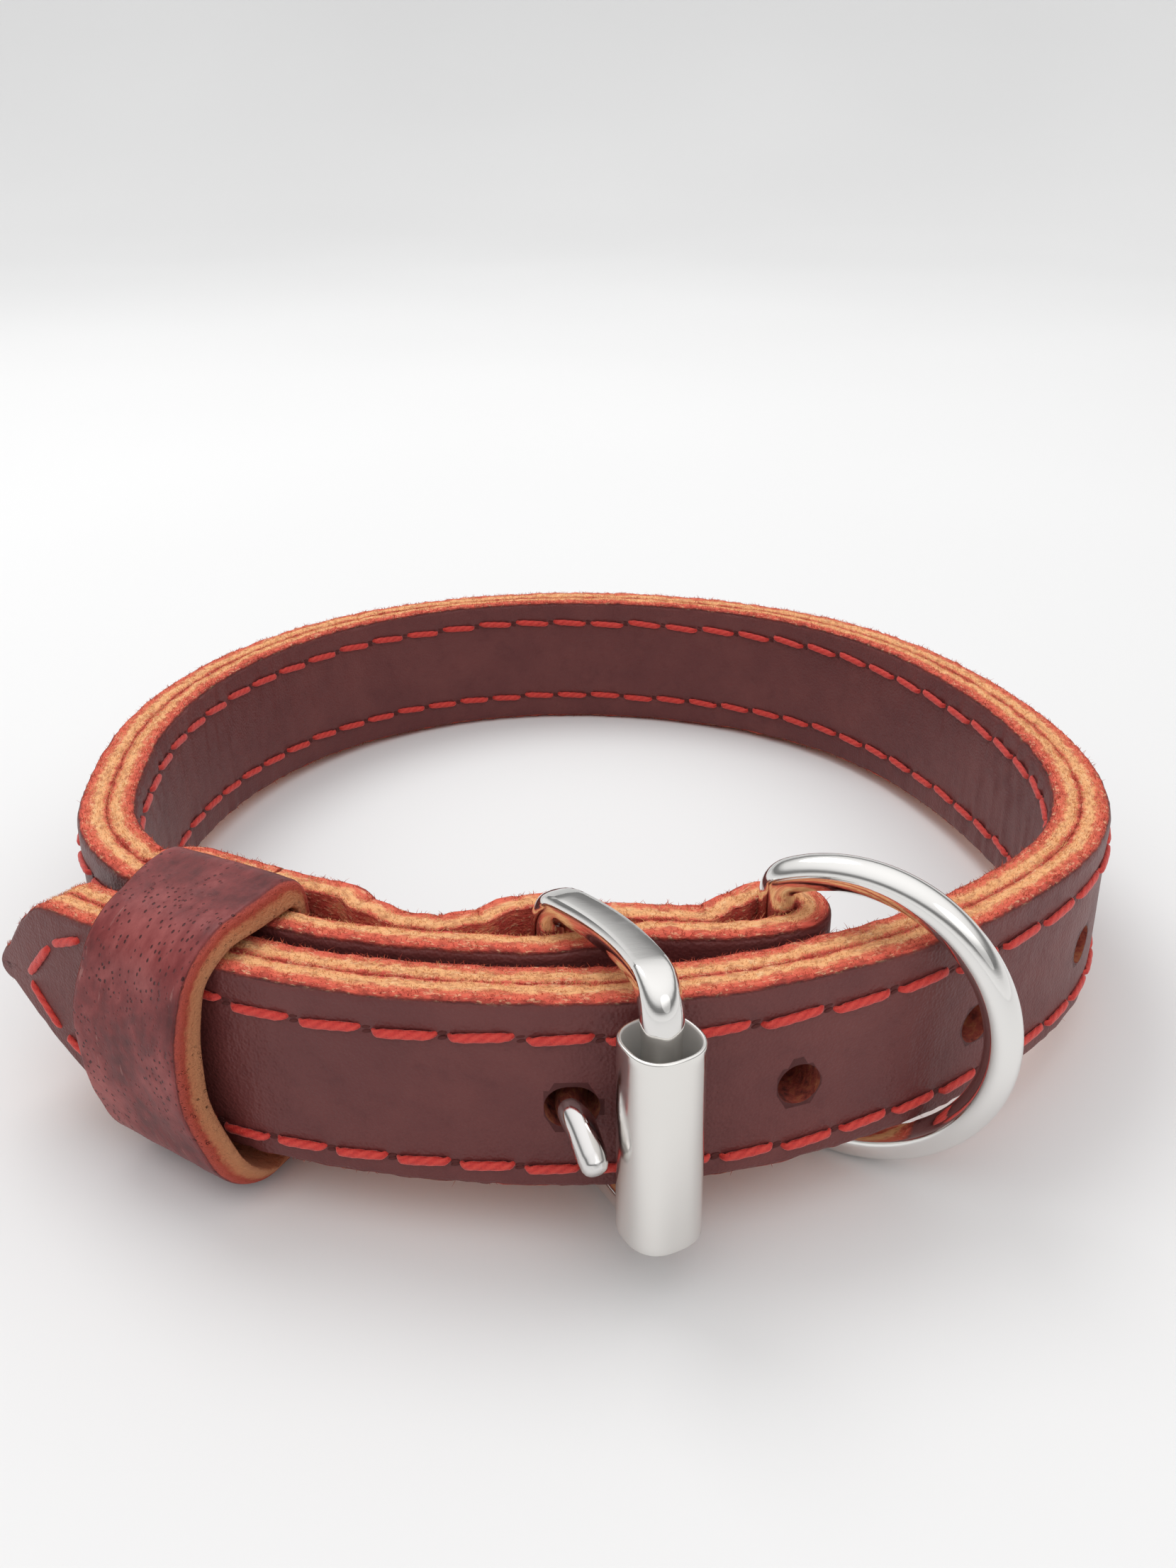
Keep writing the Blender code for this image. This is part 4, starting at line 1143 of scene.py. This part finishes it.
def metal(name, tint, rough, mark_size):
    """Polished nickel: nearly a mirror, with faint wipe marks and a few dull clouds. Where the mark
    "unpolished" is 1, such as inside the tube, it is dull and grey."""
    finish = Finish(name, Metallic=1.0, Base_Color=(*tint, 1.0))
    spot = finish.place()
    cloud = finish.noise(spot, 0.006, 3.0)
    wipe = finish.noise(spot, mark_size, 3.0, 0.6, stretch=(0.3, 1.0, 1.6))
    gloss = cloud.over(0.35, 0.8) * 0.10 + wipe.over(0.5, 0.9) * 0.10 + rough
    dull = finish.mark("unpolished")
    mirror = 1.0 - dull * 0.6
    return finish.paint(
        Roughness=gloss + dull * 0.3, Metallic=mirror, Normal=finish.bump(wipe, 0.00001, 0.5))


def heel_axis():
    return seam.place(seam.at(HEEL_BEARING + LAP), WIRE / 2 + GAP / 2)


def roller_axis():
    return seam.place(seam.at(ROLLER_BEARING), -(GAP / 2 + PLY + GAP + ROLLER_DIAMETER / 2))


def build_frame():
    """Heel bar and roller bar joined by two bowed arms: across the arms y = 4 bow x (1 - x)."""
    heel, front = heel_axis(), roller_axis()
    span = np.linalg.norm(front - heel)
    forward = (front - heel) / span
    sideways = np.array([-forward[1], forward[0]])
    low = -ARM_HANG - WIRE / 2
    high = STRAP_WIDTH + LAP_RISE + ARM_CLEARANCE + WIRE / 2
    corners = ((0.0, low, 0.0), (span, low, 0.0), (span, high, 0.0), (0.0, high, 0.0))
    radii = (HEEL_CORNER, FRONT_CORNER, FRONT_CORNER, HEEL_CORNER)
    flat, _ = evenly(rounded_corners(corners, radii, 24), 200)
    share = np.clip(flat[:, 0] / span, 0, 1)
    bow = ARM_BOW * 4 * share * (1 - share)
    plan = heel + forward * flat[:, :1] + sideways * bow[:, None]
    path = np.column_stack([plan, flat[:, 1]])
    arm = np.clip((np.abs(path[:, 2] - (low + high) / 2) - 11 * MM) / (3 * MM), 0, 1)
    broad = WIRE / 2 * (1 + 0.12 * arm * share)
    grid = sweep(path, np.array([*sideways, 0.0]), WIRE / 2, broad, closed=True, sides=40)
    away = grid - path[:, None, :]
    arm = arm[:, None]
    outward = np.sign(path[:, 2] - (low + high) / 2)[:, None]
    height = away[..., 2] * outward
    limit = WIRE / 2 * 0.66
    pressed = np.where(height > limit, limit + (height - limit) * 0.12, height)
    grid[..., 2] += (pressed - height) * outward * arm
    return grid_mesh("buckle_wire", grid, loop_rows=True)


# A superellipse: its power, its turn in radians, and its share of the solid's radius, which keeps
# the corners close to the solid
ROLLER_POWER, ROLLER_TURN, ROLLER_DRAWN = 2.5, 0.5, 0.945


def build_roller():
    """Two walls and two rounded rims. Round the tube the radius is R (|cos a|^p + |sin a|^p)^(-1/p),
    so the tube looks pressed slightly square."""
    centre = roller_axis()
    low = -ROLLER_DROP
    high = low + ROLLER_LENGTH
    rim = ROLLER_WALL / 2
    quarter = np.radians(np.linspace(-90, 90, 7))
    z = [np.linspace(low + rim, high - rim, 30), high - rim + rim * np.cos(quarter[::-1])[1:-1],
         np.linspace(high - rim, low + rim, 30), low + rim - rim * np.cos(quarter)[1:-1]]
    w = [np.zeros(30), rim - rim * np.sin(quarter[::-1])[1:-1], np.full(30, ROLLER_WALL),
         rim - rim * np.sin(quarter)[1:-1]]
    z, w = np.concatenate(z), np.concatenate(w)
    angle = 2 * np.pi * np.arange(72) / 72
    turned = angle - ROLLER_TURN
    squares = np.abs(np.cos(turned)) ** ROLLER_POWER + np.abs(np.sin(turned)) ** ROLLER_POWER
    outside_radius = ROLLER_DIAMETER / 2 * ROLLER_DRAWN * squares ** (-1 / ROLLER_POWER)
    radius = outside_radius[:, None] - w[None, :]
    grid = np.stack([
        centre[0] + radius * np.cos(angle)[:, None], centre[1] + radius * np.sin(angle)[:, None],
        np.broadcast_to(z, radius.shape)], -1)
    marks = {"unpolished": np.broadcast_to(w > rim, radius.shape).ravel()}
    return grid_mesh("roller_tube", grid, loop_rows=True, marks=marks)


# The tongue beyond its hole: share of its reach, share of its thickness
TONGUE_TIP = (
    (0.30, 1.0), (0.55, 0.97), (0.78, 0.93), (0.90, 0.84), (0.96, 0.66), (0.99, 0.42), (1.0, 0.12),
)


def build_tongue():
    """The solid's path and section, read again as smooth curves with many more stations."""
    heel = heel_axis()
    exit_point = seam.place(seam.at(HOLE_BEARING), -(GAP / 2 + PLY))
    forward = exit_point - heel
    forward /= np.linalg.norm(forward)
    right = np.array([-forward[1], forward[0]])
    loop = WIRE / 2 + 1.4 * GAP + TONGUE_BAND / 2
    path, halves = [], []
    for angle in np.radians(np.linspace(230.0, 0.0, 15)):
        spot = heel + loop * (right * math.cos(angle) - forward * math.sin(angle))
        path.append((*spot, HOLE_HEIGHT))
        halves.append((TONGUE_BAND / 2, TONGUE_DIAMETER / 2))
    start = heel + right * loop
    aim = exit_point - start
    aim_length = np.linalg.norm(aim)
    aim /= aim_length
    for share in (0.16, 0.30, 0.45, 0.75, 1.0):
        path.append((*(start + aim * (aim_length * share)), HOLE_HEIGHT))
        thick = TONGUE_BAND + (TONGUE_DIAMETER - TONGUE_BAND) * min(1.0, share / 0.45)
        halves.append((thick / 2, TONGUE_DIAMETER / 2))
    tip_way = aim * 0.92 + right * 0.38
    for share, size in TONGUE_TIP:
        spot = exit_point + tip_way * (TONGUE_REACH * share)
        path.append((*spot, HOLE_HEIGHT - TONGUE_DIP * share ** 1.5))
        halves.append((TONGUE_DIAMETER / 2 * size,) * 2)
    path, halves = np.array(path), np.array(halves)
    run = run_along(path)
    at = np.linspace(0, run[-1], 110)
    at = run[-1] * (1 - (1 - at / run[-1]) ** 1.4)
    path = np.stack([smooth_curve(at, run, path[:, k]) for k in range(3)], -1)
    thick, tall = (np.interp(at, run, halves[:, k]) for k in (0, 1))
    return grid_mesh("tongue_wire", sweep(path, (0.0, 0.0, 1.0), thick, tall, closed=False, sides=24))


def build_ring():
    """Most of a circle, closed by a straight bar, with tight bends where they meet."""
    axis = ring_axis()
    middle = LAP_RISE + STRAP_WIDTH / 2 - RING_SINK
    far = math.sqrt(RING_RADIUS ** 2 - RING_INSET ** 2)
    open_angle = math.atan2(far, -RING_INSET)
    trim = RING_CORNER / RING_RADIUS * 0.55
    sweep_angle = np.linspace(-open_angle + trim, open_angle - trim, 140)
    arc = RING_RADIUS * np.stack([np.cos(sweep_angle), np.sin(sweep_angle)], -1)
    arc[:, 0] += RING_INSET
    corner = np.array([0.0, far])
    out = arc[-1] - corner
    near = np.linalg.norm(out)
    t = np.linspace(0, 1, 14)[1:, None]
    curve = (corner + out * (1 - t)) * (1 - t) + (corner + np.array([0.0, -near]) * t) * t
    bar = np.stack([np.zeros(40), np.linspace(far - near, near - far, 42)[1:-1]], -1)
    flat, _ = evenly(np.concatenate([arc, curve, bar, curve[::-1] * (1, -1)]), 260)
    turn = math.radians(RING_TURN)
    along = np.array([math.cos(turn), math.sin(turn)])
    path = np.column_stack([axis + along * flat[:, :1], middle + flat[:, 1]])
    normal = np.array([-along[1], along[0], 0.0])
    tube = sweep(path, normal, RING_WIRE / 2, RING_WIRE / 2, closed=True, sides=32)
    return grid_mesh("ring_wire", tube, loop_rows=True)


buckle_wire = build_frame()
roller_tube = build_roller()
tongue_wire = build_tongue()
ring_wire = build_ring()
# piece, finish, tint, roughness, size of the wipe marks in metres
for piece, *look in (
    (buckle_wire, "buckle_nickel", (0.78, 0.765, 0.745), 0.05, 0.0012),
    (roller_tube, "roller_nickel", (0.80, 0.78, 0.75), 0.13, 0.0018),
    # The tongue's nickel is tinted darker than the rest: painted shade, for the dark leather it reflects.
    (tongue_wire, "tongue_nickel", (0.72, 0.70, 0.69), 0.07, 0.0012),
    (ring_wire, "ring_nickel", (0.80, 0.785, 0.765), 0.05, 0.0015),
):
    piece.data.materials.append(metal(*look))

# %% [markdown]
# ## Joining the frame
#
# Each surface stands for the solid it was drawn over. Everything is one body except the D-ring,
# which swings on its bar.

# %% Ride and replace
for piece, node, record_slot in (
    (outer, "strap_outer", "latigo_outer"), (lining, "strap_lining", "latigo_lining"),
    (keeper_band, "keeper", "keeper_leather"), (buckle_wire, "buckle_frame", "frame_steel"),
    (roller_tube, "roller", "roller_steel"), (tongue_wire, "tongue", "tongue_steel"),
    (ring_wire, "d_ring", "ring_steel"),
):
    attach(piece, "ring" if node == "d_ring" else "collar")
    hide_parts(node)
for piece in sewn + slits:
    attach(piece, "collar")
for piece, record_slot in zip(hairs, ("latigo_outer", "latigo_lining")):
    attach(piece, "collar")

print("the ring rides on its own body, every other piece on the collar")

# %% [markdown]
# ## Studio
#
# A pale seamless floor, a large soft light above and a weaker one in front. Polished wire needs
# something to reflect, so the world is pale with a darker band low down.


# %% Floor, lights and world
def studio_floor():
    """A plane that curves up far behind the collar, so that no horizon shows."""
    side, near, far, curve_radius = 1.6, -1.2, 1.0, 0.6
    u = np.linspace(-side, side, 9)
    curve = np.radians(np.linspace(12, 90, 8))
    v = np.concatenate([np.linspace(near, far, 6), far + curve_radius * np.sin(curve)])
    z = np.concatenate([np.zeros(6), curve_radius * (1 - np.cos(curve))])
    points = np.array([(a, b, c) for b, c in zip(v, z) for a in u])
    columns = len(u)
    faces = [(r * columns + c, r * columns + c + 1, (r + 1) * columns + c + 1, (r + 1) * columns + c)
             for r in range(len(v) - 1) for c in range(columns - 1)]
    mesh = bpy.data.meshes.new("studio_floor")
    mesh.from_pydata(points.tolist(), [], faces)
    mesh.shade_smooth()
    floor = add_object("studio_floor", mesh)
    paper = Finish("studio_paper", Roughness=0.95, Specular_IOR_Level=0.1)
    soft = paper.noise(paper.place(), 0.5, 2.0).ramp((0.3, 0.80), (0.7, 0.84))
    mesh.materials.append(paper.paint(Base_Color=soft))


def soft_light(name, spot, aim, size, power):
    light = bpy.data.lights.new(name, "AREA")
    light.shape, light.size, light.energy = "DISK", size, power
    holder = add_object(name, light)
    holder.location = spot
    holder.rotation_euler = (Vector(aim) - Vector(spot)).to_track_quat("-Z", "Y").to_euler()


def studio_world():
    world = bpy.data.worlds.new("studio")
    bpy.context.scene.world = world
    world.use_nodes = True
    tree = world.node_tree
    place = tree.nodes.new("ShaderNodeTexCoord")
    split = tree.nodes.new("ShaderNodeSeparateXYZ")
    ramp = tree.nodes.new("ShaderNodeValToRGB")
    set_stops(ramp.color_ramp, (
        (0.0, 1.05), (0.15, 0.92), (0.30, 0.22), (0.42, 0.30), (0.56, 0.95), (0.74, 1.20), (1.0, 1.35)))
    tree.links.new(place.outputs["Generated"], split.inputs[0])
    tree.links.new(split.outputs[2], ramp.inputs[0])
    tree.links.new(ramp.outputs[0], tree.nodes["Background"].inputs[0])
    tree.nodes["Background"].inputs[1].default_value = 0.91


studio_floor()
studio_world()
soft_light("key_light", (-0.25, 0.35, 0.75), (0.0, 0.0, 0.0), 0.45, 1.9)
soft_light("fill_light", (0.45, -0.65, 0.55), (0.0, 0.0, 0.02), 0.7, 0.5)
print("studio: floor, world and two soft lights")

# %% [markdown]
# ## Camera
#
# The lens and the place were found from the photograph by matching the holes, the stitches and the
# strap's edges, which the strap's known width ties to real size.

# %% Camera
FOCAL_PIXELS, TALL_PIXELS, PITCH, ROLL = 1904.516, 2212, 0.42196, -0.00686
lens = bpy.data.cameras.new("camera")
lens.sensor_fit, lens.sensor_height = "VERTICAL", 36.0
lens.lens = FOCAL_PIXELS / TALL_PIXELS * lens.sensor_height
lens.clip_start, lens.clip_end = 0.005, 20.0
camera = add_object("camera", lens)
look = Vector((0, math.cos(PITCH), -math.sin(PITCH)))
upright = Vector((0, math.sin(PITCH), math.cos(PITCH)))
level = Vector((1, 0, 0))
right = math.cos(ROLL) * level + math.sin(ROLL) * upright
top = -math.sin(ROLL) * level + math.cos(ROLL) * upright
turned = Matrix((right, top, -look)).transposed().to_4x4()
tip = Matrix.Translation(Vector(STAND_MOVE)) @ Matrix.Rotation(STAND_TILT, 4, "X")
camera.matrix_world = tip @ Matrix.Translation((0.0, -0.203, 0.10661)) @ turned
bpy.context.scene.camera = camera
bpy.context.scene.view_settings.view_transform = "Standard"
print("camera at", [round(x, 4) for x in camera.matrix_world.translation])
